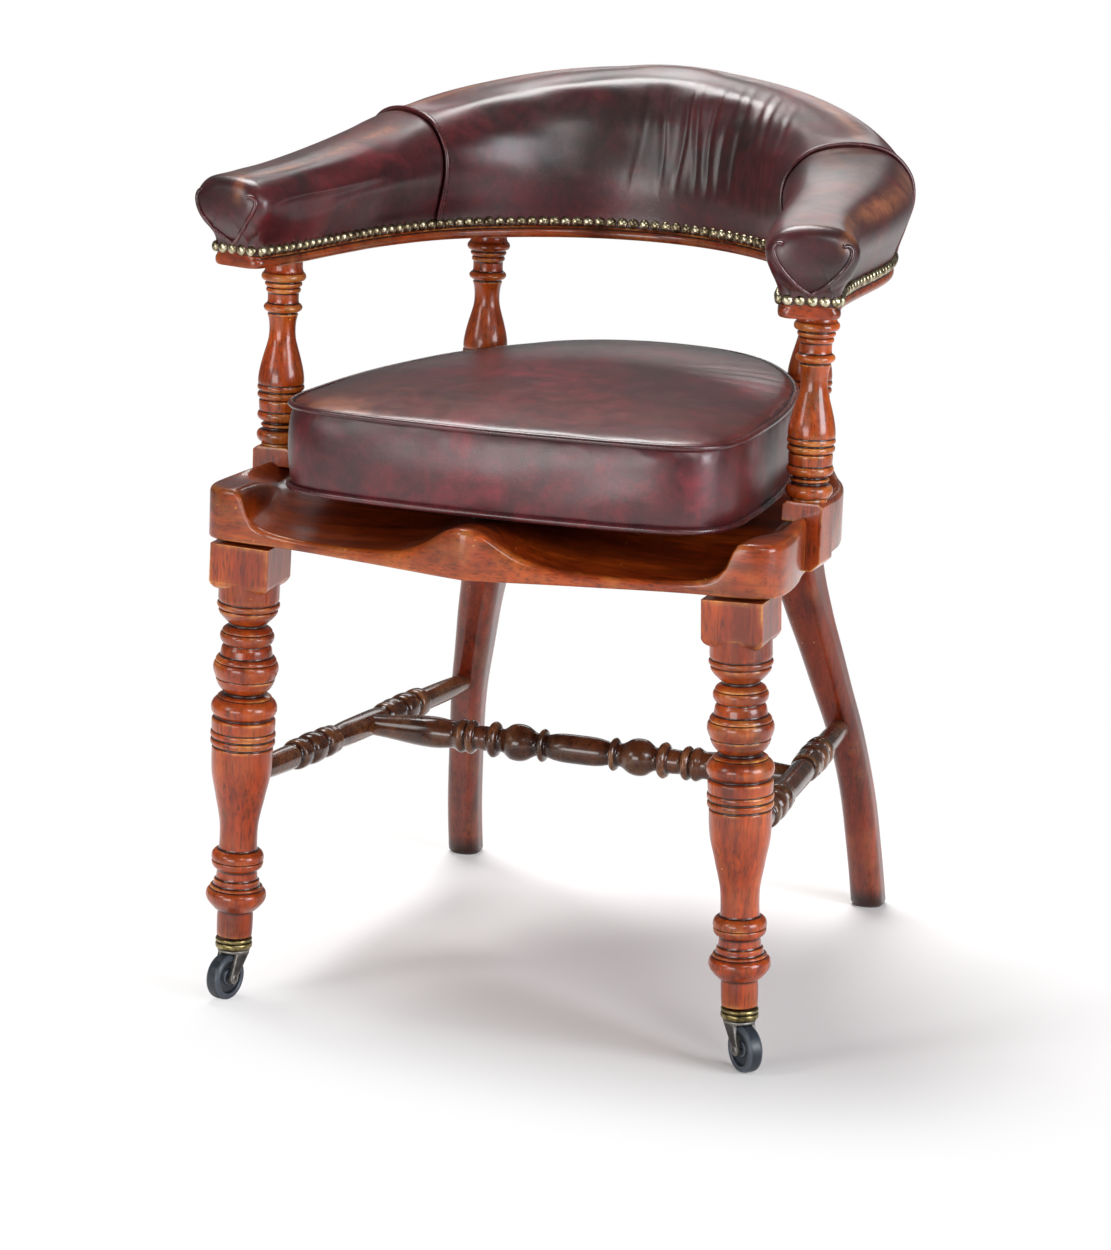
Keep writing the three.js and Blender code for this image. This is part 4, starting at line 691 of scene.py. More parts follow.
stretcher_wood = mahogany(
    "stretcher_mahogany", (0.4, 0.4, 0.4), (0.02, 0.006, 0.003), (0.065, 0.018, 0.007), (0.2, 0.06, 0.02),
    (0.5, 0.23, 0.09), 0.22,
)


def doubled(half):
    """A turned profile from the half that starts at its middle."""
    return [(-place, radius) for place, radius in half[:0:-1]] + half


def bar(name, profile, start, end, node):
    """A turned bar from one place towards another."""
    way = (Vector(end) - Vector(start)).to_track_quat("Z", "Y").to_matrix().to_4x4()
    place = STANDING @ Matrix.Translation(start) @ way
    mesh = turned(profile, stretcher_wood, 48)
    piece(name, mesh, place, stretcher_wood, 50, "chair", "dark_mahogany", node)


cross_ends = []
for side_name, side in SIDES:
    front_height = stretcher_height + leg_front * math.sin(lean)
    front = np.array((side * (leg_span - front_height * math.tan(leg_splay)), -leg_front, front_height))
    rear = sabre_at(stretcher_height - sabre_at(stretcher_height, side)[1] * math.sin(lean), side)
    length = float(np.linalg.norm(rear - front))
    cross_ends.append(mix(front, rear, cross_place))
    profile = [(place * length, radius * side_radius) for place, radius in side_shares]
    bar(f"side_bar_{side_name}", profile, front, rear, f"side_stretcher_{side_name}")

length = float(np.linalg.norm(cross_ends[1] - cross_ends[0]))
profile = doubled([(place * length / 2, radius * cross_radius) for place, radius in cross_shares])
bar("cross_bar", profile, (cross_ends[0] + cross_ends[1]) / 2, cross_ends[1], "cross_stretcher")


# Spindles. Four turned uprights between seat and bow: the front pair stands on a square block
# notched over the seat's edge, the rear pair in sockets in the seat.
spindle_span, rear_spindle = 228.5, (147, 122)
rail_bottom = 597
spindle_profile = [
    (443.2, 14.6), (444.4, 16.8), (447, 18.6), (449.8, 19.1), (452.6, 18.3), (453.6, 17.2),
    (454.2, 15.6), (455.4, 14.4), (456.6, 14.8), (457.6, 15.8), (458.8, 15.4), (459.6, 13.6),
    (460.6, 13.4), (461.6, 15.4), (463.6, 18.2), (466.2, 19.0), (468.6, 18.4), (469.8, 17.4),
    (471, 17.5), (475, 17.8), (478.6, 17.7), (479.4, 17.0), (480.2, 17.6), (481.6, 18.9),
    (483.4, 19.3), (485, 18.8), (485.8, 17.6), (486.6, 17.6), (487.4, 18.8), (489.2, 19.5),
    (491, 19.2), (491.8, 18.8), (494, 19.1), (499, 18.8), (504, 18.0), (508.6, 17.0), (513, 15.9),
    (517, 14.8), (521.4, 13.5), (525.4, 12.4), (530, 11.3), (536, 10.8), (541, 10.9), (545.4, 11.4),
    (549.4, 12.4), (550.4, 12.6), (551.2, 12.0), (552.2, 12.6), (553.4, 14.8), (555.8, 16.0),
    (558.2, 15.0), (559.4, 13.4), (560.6, 12.9), (566, 12.8), (568.2, 13.0), (569, 13.9),
    (570.4, 14.3), (571.8, 13.9), (572.4, 13.2), (573, 13.8), (574.4, 15.2), (576, 15.4),
    (577.2, 14.6), (577.8, 14.9), (578.6, 17.0), (580.2, 18.2), (582.4, 18.3), (584, 17.6),
    (585, 16.6), (587.5, 15.6), (592, 15.4), (rail_bottom + 1, 15.4),
]
spindle_wood = mahogany(
    "spindle_mahogany", (1, 1, 0.12), (0.13, 0.015, 0.002), (0.38, 0.045, 0.003), (0.6, 0.11, 0.006),
    (0.7, 0.3, 0.06), 0.26,
)
block_bottom, block_face, block_half, block_top, seat_step = 386, 229.3, 16.8, 441.5, 425.5
low_cut, high_cut, high_fall = 7, 3.5, 3
front_base = [(438, 15), (442.6, 15)]
rear_base = [
    (410, 19.2), (427, 19.2), (429.6, 19.4), (431.6, 18.6), (433, 16.8), (434, 15.4), (438, 14.8),
]


def squared(outline, depth, width=1.2, segments=3):
    """Prism of an outline in X and Z, centred on Y, with its edges rounded."""
    work = opened()
    front, back = ([work.verts.new((x, y, z)) for x, z in outline] for y in (-depth / 2, depth / 2))
    work.faces.new(front)
    work.faces.new(back[::-1])
    for i in range(len(outline)):
        k = (i + 1) % len(outline)
        work.faces.new((front[i], back[i], back[k], front[k]))
    bmesh.ops.recalc_face_normals(work, faces=work.faces)
    bmesh.ops.bevel(
        work, geom=work.edges[:], offset=width, segments=segments, profile=0.6, affect="EDGES",
        clamp_overlap=True,
    )
    return closed(work)


def spindle(name, mesh, x, y, node):
    place = LEANING @ Matrix.Translation((x, y, 0))
    piece(name, mesh, place, spindle_wood, 48, "chair", "mahogany", node)


for side_name, side in SIDES:
    inner_edge, outer_edge = spindle_span - block_half, spindle_span + block_half
    outline = [
        (inner_edge, seat_step), (block_face, seat_step), (block_face, block_bottom),
        (outer_edge - low_cut, block_bottom), (outer_edge, block_bottom + low_cut),
        (outer_edge, block_top - high_fall), (outer_edge - high_cut, block_top),
        (inner_edge + high_cut, block_top), (inner_edge, block_top - high_fall),
    ]
    block = gridded(squared([(side * (x - spindle_span), z) for x, z in outline], 2 * block_half, 0.9))
    stem = turned(front_base + spindle_profile, spindle_wood, 64)
    name = f"front_spindle_turned_{side_name}"
    spindle(name, joined(stem, block), side * spindle_span, -spindle_front, f"front_spindle_{side_name}")
    stem = turned(rear_base + spindle_profile, spindle_wood, 64)
    name = f"rear_spindle_turned_{side_name}"
    spindle(name, stem, side * rear_spindle[0], rear_spindle[1], f"rear_spindle_{side_name}")


# Bow rail. Two halves sawn to the horseshoe and dowelled at the back, with a moulded edge that
# shows below the nails. Each arm ends square to its own run, so it looks a little outwards.
rail_edge, tongue_height, leather_inset = 10, 5, 3
bow_half, bow_front, bow_back_inner, bow_back_outer = 267, 212, 118, 217
bow_steps, last_station, middle_station, seam_station = 24, 28, 14, 8.4
end_turn, end_turn_inside, end_turn_run = 9.0, 0.6, 60.0
end_rounding, end_depth = 0.36, 10.0
# inner x and y, then outer x and y, from an arm's front to the middle of the back
bow_shares = [
    (0.822, -1, 1, -1), (0.805, -0.94, 0.978, -0.92), (0.787, -0.873, 0.966, -0.849),
    (0.76, -0.731, 0.94, -0.684), (0.738, -0.557, 0.929, -0.495), (0.715, -0.401, 0.925, -0.307),
    (0.689, -0.245, 0.921, -0.118), (0.652, -0.104, 0.91, 0.065), (0.607, 0.068, 0.884, 0.23),
    (0.543, 0.314, 0.835, 0.406), (0.464, 0.517, 0.76, 0.562), (0.367, 0.703, 0.648, 0.714),
    (0.251, 0.864, 0.498, 0.848), (0.127, 0.966, 0.255, 0.968), (0, 1, 0, 1),
]
change_shares = [0, 0, 0, 0, 0.02, 0.06, 0.13, 0.24, 0.38, 0.55, 0.72, 0.86, 0.94, 0.98, 1]
rise_shares = [
    0.05, 0.07, 0.09, 0.12, 0.15, 0.19, 0.24, 0.31, 0.41, 0.53, 0.66, 0.78, 0.88, 0.96, 1,
]
rail_profile = [
    (3.2, 0), (1.6, 0.35), (0.5, 1.4), (0, 3.0), (0, 5.2), (0.5, 6.8), (1.4, 7.7), (1.7, 8.3),
    (1.5, 8.9), (1.9, 9.6), (2.8, 10.0),
]
rail_wood = mahogany(
    "rail_mahogany", (0.35, 0.35, 1), (0.1, 0.012, 0.002), (0.28, 0.033, 0.004), (0.46, 0.07, 0.007),
    (0.6, 0.22, 0.05), 0.28,
)


def run_length(points):
    """Length along a line of points, up to each of them."""
    return np.concatenate([[0], np.cumsum(np.linalg.norm(np.diff(points, axis=0), axis=1))])


arm_rows = np.array([
    (
        inner_x * bow_half, inner_y * (bow_front if inner_y < 0 else bow_back_inner),
        outer_x * bow_half, outer_y * (bow_front if outer_y < 0 else bow_back_outer), change, rise,
    )
    for (inner_x, inner_y, outer_x, outer_y), change, rise in zip(bow_shares, change_shares, rise_shares)
])
bow_line = curve_through(np.vstack([arm_rows * (-1, 1, -1, 1, 1, 1), arm_rows[-2::-1]]), bow_steps)
bow_places = np.arange(len(bow_line)) / bow_steps
bow_length = run_length((bow_line[:, :2] + bow_line[:, 2:4]) / 2)


def on_side(station, side):
    """Station of the whole bow for one that is counted from this side's arm."""
    return station if side < 0 else last_station - station


def from_end(station):
    """Length of bow from a station to the nearer arm's front."""
    return np.interp(min(station, last_station - station), bow_places, bow_length)


def bow_at(station):
    """Inner and outer point in plan, change of section and rise of the crest, at a station."""
    row = [np.interp(station * bow_steps, np.arange(len(bow_line)), column) for column in bow_line.T]
    turn = end_turn * (1 - smooth(from_end(station) / end_turn_run))
    inner, outer = np.array((row[0], row[1] - end_turn_inside * turn)), np.array((row[2], row[3] + turn))
    return inner, outer, row[4], row[5]


def stations_between(start, end, spacing, first=()):
    """Stations evenly spaced along the bow, after closer ones from the start if they are given."""
    near = [start + np.sign(end - start) * step for step in first]
    a, b = np.interp((near[-1] if near else start, end), bow_places, bow_length)
    even = np.interp(np.linspace(a, b, max(int(abs(b - a) / spacing), 2) + 1), bow_length, bow_places)
    return near + list(even[1:]) if near else list(even)


def end_width(station):
    """How much of the rail's width is left at a station: the arm's front corners are rounded."""
    back = min(from_end(station) / end_depth, 1)
    return 1 - end_rounding * (1 - math.sqrt(max(0, 1 - (1 - back) ** 2)))


def rail_edges(station):
    """Inner and outer edge of the rail in plan."""
    inner, outer, _, _ = bow_at(station)
    middle, narrow = (inner + outer) / 2, end_width(station)
    return middle + (inner - middle) * narrow, middle + (outer - middle) * narrow


edge_steps = (0, 0.02, 0.05, 0.1, 0.17, 0.26, 0.38, 0.55, 0.75)
for side_name, side in SIDES:
    rings = []
    for station in stations_between(on_side(0, side), middle_station, 5, edge_steps):
        inner, outer = rail_edges(station)
        width = np.linalg.norm(outer - inner)
        across = (outer - inner) / width
        section = rail_profile + [(leather_inset, rail_edge), (leather_inset, rail_edge + tongue_height)]
        section = section + [(width - x, z) for x, z in section[::-1]]
        rings.append([(*(inner + across * x), rail_bottom + z) for x, z in section])
    piece(
        f"moulded_rail_{side_name}", solid_of(rings), LEANING, rail_wood, 42, "chair", "mahogany",
        f"bow_rail_{side_name}",
    )


# Upholstered roll. Hide stretched over horsehair on the bow, in three covers: two arms and the
# back, sewn where they meet and nailed down to the rail inside and out.
skirt_gap, skirt_height, arm_height, back_height, nose_length = 0.3, 9.5, 61, 137, 15
skirt_base = rail_bottom + rail_edge + skirt_gap
skirt_top = skirt_base + skirt_height
arm_section = [
    (0, 0), (-0.1, 0.22), (-0.23, 0.5), (-0.22, 0.7), (0, 0.92), (0.5, 1), (1, 0.92), (1.22, 0.7),
    (1.23, 0.5), (1.1, 0.22), (1, 0),
]
back_section = [
    (0, 0), (-0.01, 0.22), (0.04, 0.46), (0.13, 0.7), (0.31, 0.92), (0.53, 1), (0.76, 0.94),
    (0.95, 0.74), (1.03, 0.48), (1.03, 0.22), (1, 0),
]
# how far out, how wide and how tall the nose of an arm still is
nose_shares = [
    (0, 1, 1), (0.3, 0.975, 0.86), (0.62, 0.88, 0.66), (0.88, 0.68, 0.46), (0.97, 0.45, 0.3),
    (1.0, 0.2, 0.14),
]
nose_steps = (0, 0.03, 0.07, 0.13, 0.22, 0.34, 0.5, 0.7)
section_steps, corner_fade, nose_middle = 7, 14, 0.58
hide_spacing, hide_most, skirt_hold, seam_hold, nose_hold, nose_hold_rows = 5.5, 3.5, 24, 0.4, 0.9, 9
fold_bottom, fold_middle, fold_top = 632, 680, 736
# place across, depth and slant of each gather in the back
back_wrinkles = [
    (-14, 0.7, 0.2), (6, 1.1, -0.1), (24, 1.5, 0.15), (38, 1.2, -0.2), (52, 1.6, 0.1),
    (65, 1.1, 0.3), (79, 1.5, 0.0), (93, 1.0, 0.25), (108, 1.2, -0.1), (124, 0.7, 0.2),
]


def leather(name, dark, mid, red, rub, gloss=0.28):
    """Antiqued burgundy hide: dark wiped glaze over red, fine grain, rubbed brown on the crests, painted
    shade in its creases.
    """
    finish, tree, where = new_finish(name)
    cloud = noised(tree, where, 9, 5, 0.6, 0.4)
    fine = noised(tree, where, 60, 5, 0.65, 0.3)
    mottle = noised(tree, where, 34, 6, 0.75, 0.8)
    glaze = calc(tree, "MULTIPLY_ADD", cloud, 0.55, calc(tree, "MULTIPLY", mottle, 0.45))
    tone = ramp(tree, glaze, (0.4, dark), (0.52, mid), (0.62, red))
    tone = blended(tree, 0.7, tone, ramp(tree, fine, (0.32, 0.45), (0.62, 1.0)), "MULTIPLY")
    cell = cells(tree, where, 620.0, feature="DISTANCE_TO_EDGE")
    tone = blended(tree, 0.25, tone, ramp(tree, cell, (0.0, 0.55), (0.1, 1.0)), "MULTIPLY")
    scuff = ramp(tree, noised(tree, where, 22, 6, 0.75, 0.6), (0.4, 0.0), (0.62, 1.0))
    tone = blended(tree, calc(tree, "MULTIPLY", marked(tree, "crest"), scuff), tone, rub)
    # painted shade: creases and hollows of the hide darkened
    deep = ramp(tree, marked(tree, "grime_and_shade"), (0.05, 0.0), (0.5, 0.75))
    tone = blended(tree, deep, tone, (0.008, 0.003, 0.004))
    relief = [
        (ramp(tree, cell, (0.0, 0.0), (0.12, 1.0)), 0.16, 0.0003), (cells(tree, where, 1150.0), 0.1, 0.0002),
        (noised(tree, where, 85, 3, 0.5), 0.18, 0.0012),
    ]
    surface(
        tree, relief, Base_Color=tone, Roughness=spread(tree, fine, gloss, gloss + 0.15), Sheen_Weight=0.02,
        Sheen_Roughness=0.35, Specular_IOR_Level=0.5, Coat_Weight=0.35, Coat_Roughness=0.27,
    )
    return finish


hide = leather(
    "roll_hide", (0.022, 0.004, 0.004), (0.062, 0.006, 0.008), (0.12, 0.01, 0.014), (0.3, 0.1, 0.04),
)


def roll_profile(station):
    """Section of the roll at a station, from the inner foot of its skirt over the crest."""
    inner, outer, change, rise = bow_at(station)
    width = np.linalg.norm(outer - inner)
    height = mix(arm_height, back_height, rise) - skirt_height
    over = [
        (mix(a[0], b[0], change) * width, skirt_top + mix(a[1], b[1], change) * height)
        for a, b in zip(arm_section, back_section)
    ]
    over = curve_through([(0, skirt_base)] + over + [(width, skirt_base)], section_steps)
    return inner, (outer - inner) / width, width, over


def roll_ring(station):
    """Ring of the roll at a station, its foot rounded with the rail's corners."""
    inner, across, width, over = roll_profile(station)
    low = 1 - smooth((over[:, 1] - skirt_top) / corner_fade)
    x = width / 2 + (over[:, 0] - width / 2) * (1 - (1 - end_width(station)) * low)
    foot = [(x[-1] - (x[-1] - x[0]) * share, skirt_base) for share in (0.12, 0.35, 0.65, 0.88)]
    return [(*(inner + across * a), z) for a, z in [*zip(x, over[:, 1]), *foot]]


def nose_rings(station):
    """Front of an arm: the cover swells out over the skirt and closes in a dome."""
    inner, across, width, _ = roll_profile(station)
    middle = skirt_top + nose_middle * (mix(arm_height, back_height, rise_shares[0]) - skirt_height)
    full = np.array(roll_ring(station))
    forward = np.sign(across[0]) * np.array((across[1], -across[0]))
    axis = inner + across * width / 2
    rings = []
    for out, wide, low in curve_through(nose_shares, 3)[1:]:
        ring = full.copy()
        above = smooth((full[:, 2] - skirt_top) / (middle - skirt_top))
        ring[:, :2] = axis + (full[:, :2] - axis) * wide + forward * out * nose_length
        ring[:, 2] = middle + (np.maximum(full[:, 2], skirt_top) - middle) * mix(low, wide, above)
        rings.append(ring)
    return rings, (*(axis + forward * nose_length * 1.01), middle)


def stuffed(mesh, held, most, even=6, pressure=4.0, frames=20):
    """The cover settles over its stuffing: cloth under pressure, held where it is nailed or sewn."""
    was = rows_of(mesh)
    mesh.transform(Matrix.Scale(0.001, 4))
    source = placed("cover", mesh)
    group = source.vertex_groups.new(name="held")
    for index, weight in enumerate(held):
        if weight > 0:
            group.add([index], float(weight), "REPLACE")
    cloth = source.modifiers.new("cloth", "CLOTH")
    cloth.settings.vertex_group_mass = "held"
    cloth.settings.use_pressure = True
    cloth.settings.uniform_pressure_force = pressure
    cloth.settings.effector_weights.gravity = 0
    cloth.collision_settings.use_collision = False
    cloth.point_cache.frame_start = 1
    cloth.point_cache.frame_end = frames
    for number in range(1, frames + 1):
        scene.frame_set(number)
    graph = bpy.context.evaluated_depsgraph_get()
    step = rows_of(source.evaluated_get(graph).data) * 1000 - was
    length = np.linalg.norm(step, axis=1)
    step *= (np.minimum(length, most) / np.maximum(length, 1e-9))[:, None]
    step *= (1 - np.clip(held, 0, 1))[:, None]
    mesh.vertices.foreach_set("co", (was + evened(step, edges_both_ways(mesh), even)).ravel())
    scene.frame_set(1)
    bpy.data.objects.remove(source)
    return mesh


def subdivided(mesh):
    """The cover once more as fine."""
    source = placed("coarse", mesh)
    modifier = source.modifiers.new("fine", "SUBSURF")
    modifier.levels = modifier.render_levels = 1
    return evaluated(source)


def crest_rub(mesh, ridge, narrow, strength):
    """Where sleeves and backs rub the hide brown: a strip along the crest, off its middle."""
    place, coarse = rows_of(mesh), 6
    middle = (bow_line[::coarse, :2] + bow_line[::coarse, 2:4]) / 2
    station = np.linalg.norm(place[:, None, :2] - middle[None], axis=2).argmin(1) * coarse / bow_steps
    inner, outer = (
        np.column_stack([np.interp(station, bow_places, bow_line[:, k]) for k in pair])
        for pair in ((0, 1), (2, 3))
    )
    wide = np.linalg.norm(outer - inner, axis=1)
    across = ((place[:, :2] - inner) * (outer - inner)).sum(1) / wide**2
    rise = np.interp(np.minimum(station, last_station - station), np.arange(len(rise_shares)), rise_shares)
    height = (place[:, 2] - skirt_top) / (mix(arm_height, back_height, rise) - skirt_height)
    broad = 0.3 * smooth((height - 0.94) / 0.06)
    strip = np.exp(-(((across - ridge) / narrow) ** 2)) * smooth((height - 0.55) / 0.2)
    set_float(mesh, "crest", np.maximum(broad, strip) * strength)


def cover(stations, nose_at=None):
    """Cover over some stations, held by its skirt and seams and, on an arm, closed by a nose."""
    rings = [roll_ring(station) for station in stations]
    poles = ()
    if nose_at is not None:
        front, tip = nose_rings(nose_at)
        rings, poles = front[::-1] + rings, (tip,)
    mesh = solid_of(rings, poles)
    row = np.arange(len(rings))
    if nose_at is None:
        from_seam, nose = np.minimum(row, row[::-1]), np.zeros(len(rings))
    else:
        from_seam, nose = row[::-1], nose_hold - np.maximum(row - len(front), 0) / nose_hold_rows
    sewn = np.select([from_seam == 0, from_seam == 1], [1.0, seam_hold])
    height = rows_of(mesh)[:len(rings) * len(rings[0]), 2].reshape(len(rings), -1) - skirt_top
    nailed = np.where(height < 0.5, 1.0, np.maximum(1 - height / skirt_hold, 0))
    held = np.maximum(nailed, np.maximum(sewn, nose)[:, None]).ravel()
    held = np.append(held, np.full(len(mesh.vertices) - len(held), nose_hold))
    return tidy(subdivided(stuffed(mesh, held, hide_most)))


for side_name, side in SIDES:
    front, seam = on_side(0, side), on_side(seam_station, side)
    mesh = cover(stations_between(front, seam, hide_spacing, nose_steps), front)
    crest_rub(mesh, 1.08 if side > 0 else 0.3, 0.09, 0.9)
    arm = piece(
        f"arm_cover_{side_name}", mesh, LEANING, hide, 70, "chair", "leather", f"arm_pad_{side_name}",
        f"arm_end_panel_{side_name}",
    )

mesh = cover(stations_between(seam_station, last_station - seam_station, hide_spacing))
place, normal = rows_of(mesh), rows_of(mesh, "normal")
inside = smooth((-normal[:, 1] + 0.1) / 0.5)
tall = smooth((place[:, 2] - fold_bottom) / 30) * smooth((fold_top - place[:, 2]) / 26)
depth = np.zeros(len(place))
for where, deep, slant in back_wrinkles:
    line = where + slant * (place[:, 2] - fold_middle) * 0.25 + 1.5 * np.sin(place[:, 2] / 17 + where)
    fold, left, right = (
        np.exp(-(((place[:, 0] - line + step) / wide) ** 2)) for step, wide in ((0, 2.2), (-5, 3.2), (5, 3.2))
    )
    depth += 0.75 * deep * (fold - 0.45 * left - 0.3 * right)
place -= normal * (depth * inside * tall)[:, None]
mesh.vertices.foreach_set("co", place.ravel())
crest_rub(mesh, 0.66, 0.07, 0.85)
back = piece("back_cover", mesh, LEANING, hide, 70, "chair", "leather", "back_pad")

# the boards inside the roll and the dowel in the rail never show, and keep a plain sawn wood
sawn = mahogany(
    "sawn_beech", (0.2, 1, 1), (0.25, 0.15, 0.08), (0.38, 0.25, 0.14), (0.48, 0.33, 0.2),
    (0.5, 0.36, 0.22), 0.65,
)
for node in ("back_core", "arm_core_left", "arm_core_right", "rail_dowel"):
    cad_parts[node].data.materials.clear()
    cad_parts[node].data.materials.append(sawn)


# Piping. A cord covered in the same hide, sewn into the seams of the roll; on each arm's front
# it runs down to a point between the nails and up again. Thread shows beside the arm seams.
piping_radius, piping_rise, end_cord_share, end_cord_sink = 2.0, 0.9, 0.95, 0.0005
stitch_pitch, stitch_offset, stitch_lift, far_out = 4.2, 0.13, 0.0001, 60
wedge_line = [
    (0, -0.4), (7, 4), (15, 11), (23, 20), (28.5, 28), (30.5, 34), (29.5, 38.5), (26.5, 40.5),
    (23.5, 40),
]
# the cord's hide is coloured lighter than the roll's although it is the same hide: a painted highlight
piping_hide_painted_highlight = leather(
    "piping_hide_painted_highlight", (0.035, 0.006, 0.007), (0.08, 0.01, 0.012), (0.15, 0.014, 0.02), (0.3, 0.12, 0.07), 0.18,
)


def piping_tree():
    """Cord of even thickness along a line of points; a loop closes on itself."""
    tree, given = node_group(
        "piping", "Cord", Line="Geometry", Radius="Float", Loop="Bool", Step="Float", Finish="Material",
    )
    line = add(tree, "GeometryNodeMeshToCurve", {"Mesh": given["Line"]}).outputs[0]
    line = add(tree, "GeometryNodeSetSplineCyclic", {"Geometry": line, "Cyclic": given["Loop"]}).outputs[0]
    line = {"Curve": line, "Length": given["Step"]}
    line = add(tree, "GeometryNodeResampleCurve", line, mode="LENGTH").outputs[0]
    ring = {"Resolution": 12, "Radius": given["Radius"]}
    ring = add(tree, "GeometryNodeCurvePrimitiveCircle", ring, mode="RADIUS").outputs[0]
    body = add(tree, "GeometryNodeCurveToMesh", {"Curve": line, "Profile Curve": ring, "Fill Caps": True})
    return ended(tree, body.outputs[0], given["Finish"])


def varied(tree, seed, low, high, kind):
    """A value of its own for each point."""
    node = add(tree, "FunctionNodeRandomValue", {"Seed": seed}, data_type=kind)
    picked(node.inputs, "Min").default_value = low
    picked(node.inputs, "Max").default_value = high
    return picked(node.outputs)


def bead_tree():
    """A small rounded body at each point, its own axis along the point's direction."""
    tree, given = node_group(
        "beads", "Beads", Places="Geometry", Radius="Float", Rise="Float", Tilt="Float", Seed="Int",
        Finish="Material",
    )
    ball = add(tree, "GeometryNodeMeshUVSphere", {"Segments": 16, "Rings": 9, "Radius": 1.0}).outputs[0]
    radius = given["Radius"]
    size = add(tree, "ShaderNodeCombineXYZ", {0: radius, 1: radius, 2: given["Rise"]}).outputs[0]
    body = add(tree, "GeometryNodeTransform", {"Geometry": ball, "Scale": size}).outputs[0]
    axis = add(tree, "GeometryNodeInputNamedAttribute", {"Name": "direction"}, data_type="FLOAT_VECTOR")
    sway = varied(tree, given["Seed"], (-1, -1, -1), (1, 1, 1), "FLOAT_VECTOR")
    sway = add(tree, "ShaderNodeVectorMath", {0: sway, "Scale": given["Tilt"]}, operation="SCALE").outputs[0]
    facing = add(tree, "ShaderNodeVectorMath", {0: axis.outputs[0], 1: sway}, operation="ADD").outputs[0]
    turn = add(tree, "FunctionNodeAlignRotationToVector", {"Vector": facing}, axis="Z").outputs[0]
    grown = varied(tree, given["Seed"], 0.95, 1.04, "FLOAT")
    bodies = add(tree, "GeometryNodeInstanceOnPoints", {
        "Points": given["Places"], "Instance": body, "Rotation": turn, "Scale": grown,
    }).outputs[0]
    return ended(tree, bodies, given["Finish"])


PIPING = piping_tree()
BEADS = bead_tree()


def beads(points, directions, finish, **sizes):
    mesh = bpy.data.meshes.new("places")
    mesh.from_pydata([tuple(p) for p in points], [], [])
    facing = mesh.attributes.new("direction", "FLOAT_VECTOR", "POINT")
    facing.data.foreach_set("vector", np.asarray(directions, np.float32).ravel())
    return made_by(BEADS, mesh, finish=finish, **sizes)


def cord(name, points, radius, place, body, node, loop=False, step=2.0):
    line = line_mesh(points, loop)
    mesh = made_by(PIPING, line, radius=radius, loop=loop, step=step, finish=piping_hide_painted_highlight)
    piece(name, mesh, place, piping_hide_painted_highlight, 70, body, "leather_piping", node)


def skin_of(name):
    """Surface of a finished piece, to lay others on."""
    mesh = bpy.data.objects[name].data
    return BVHTree.FromPolygons([v.co for v in mesh.vertices], [p.vertices for p in mesh.polygons])


back_skin = skin_of("back_cover")
for side_name, side in SIDES:
    inner, across, _, over = roll_profile(on_side(seam_station, side))
    run = unit(np.gradient(over, axis=0))
    lifted = over + np.column_stack([-run[:, 1], run[:, 0]]) * piping_rise
    path = [(*(inner + across * a), z) for a, z in lifted if z > skirt_top - 2]
    cord(f"seam_cord_{side_name}", path, piping_radius, LEANING, "chair", f"seam_piping_{side_name}")

    inner, across, _, over = roll_profile(on_side(seam_station + stitch_offset, side))
    path = np.array([(*(inner + across * a), z) for a, z in over if z > skirt_top + 2])
    length = run_length(path)
    places, directions = [], []
    for at in np.arange(stitch_pitch, length[-1] - 2, stitch_pitch):
        here, after = (
            Vector([np.interp(at + step, length, path[:, k]) for k in range(3)]) for step in (0, 1)
        )
        hit, facing, _, _ = back_skin.find_nearest(LEANING @ here)
        places.append(LEANING.inverted() @ (hit + facing * stitch_lift))
        directions.append(tuple((after - here).normalized()))
    row = beads(places, directions, piping_hide_painted_highlight, radius=0.42, rise=1.5, tilt=0.1, seed=3)
    piece(f"seam_stitches_{side_name}", row, LEANING, piping_hide_painted_highlight, 70, "chair", "leather_piping")

    skin = skin_of(f"arm_cover_{side_name}")
    inner, outer, _, _ = bow_at(on_side(0, side))
    across = (outer - inner) / np.linalg.norm(outer - inner)
    forward = side * np.array((across[1], -across[0]))
    inward = (LEANING.to_3x3() @ Vector((*-forward, 0))).normalized()
    half = curve_through(wedge_line, 5)
    path = []
    for x, up in np.vstack([half[::-1] * (-1, 1), half[1:]]):
        start = (inner + outer) / 2 + across * x + forward * far_out
        hit, _, _, _ = skin.ray_cast(LEANING @ Vector((*start, skirt_top + up)), inward)
        path.append(LEANING.inverted() @ (hit - inward * end_cord_sink))
    cord(
        f"end_cord_{side_name}", path, piping_radius * end_cord_share, LEANING, "chair",
        f"end_piping_{side_name}", step=1.5,
    )


# Nails. Domed antique-brass heads of 9 mm in one close row, outside, round both arm ends and
# inside, driven through the hide into the rail.
nail_radius, nail_rise, nail_drop, nail_pitch, nail_tilt, nail_seed = 4.65, 3.3, 0.3, 9.7, 0.07, 7
nail_height = rail_bottom + rail_edge + skirt_height / 2 - nail_drop


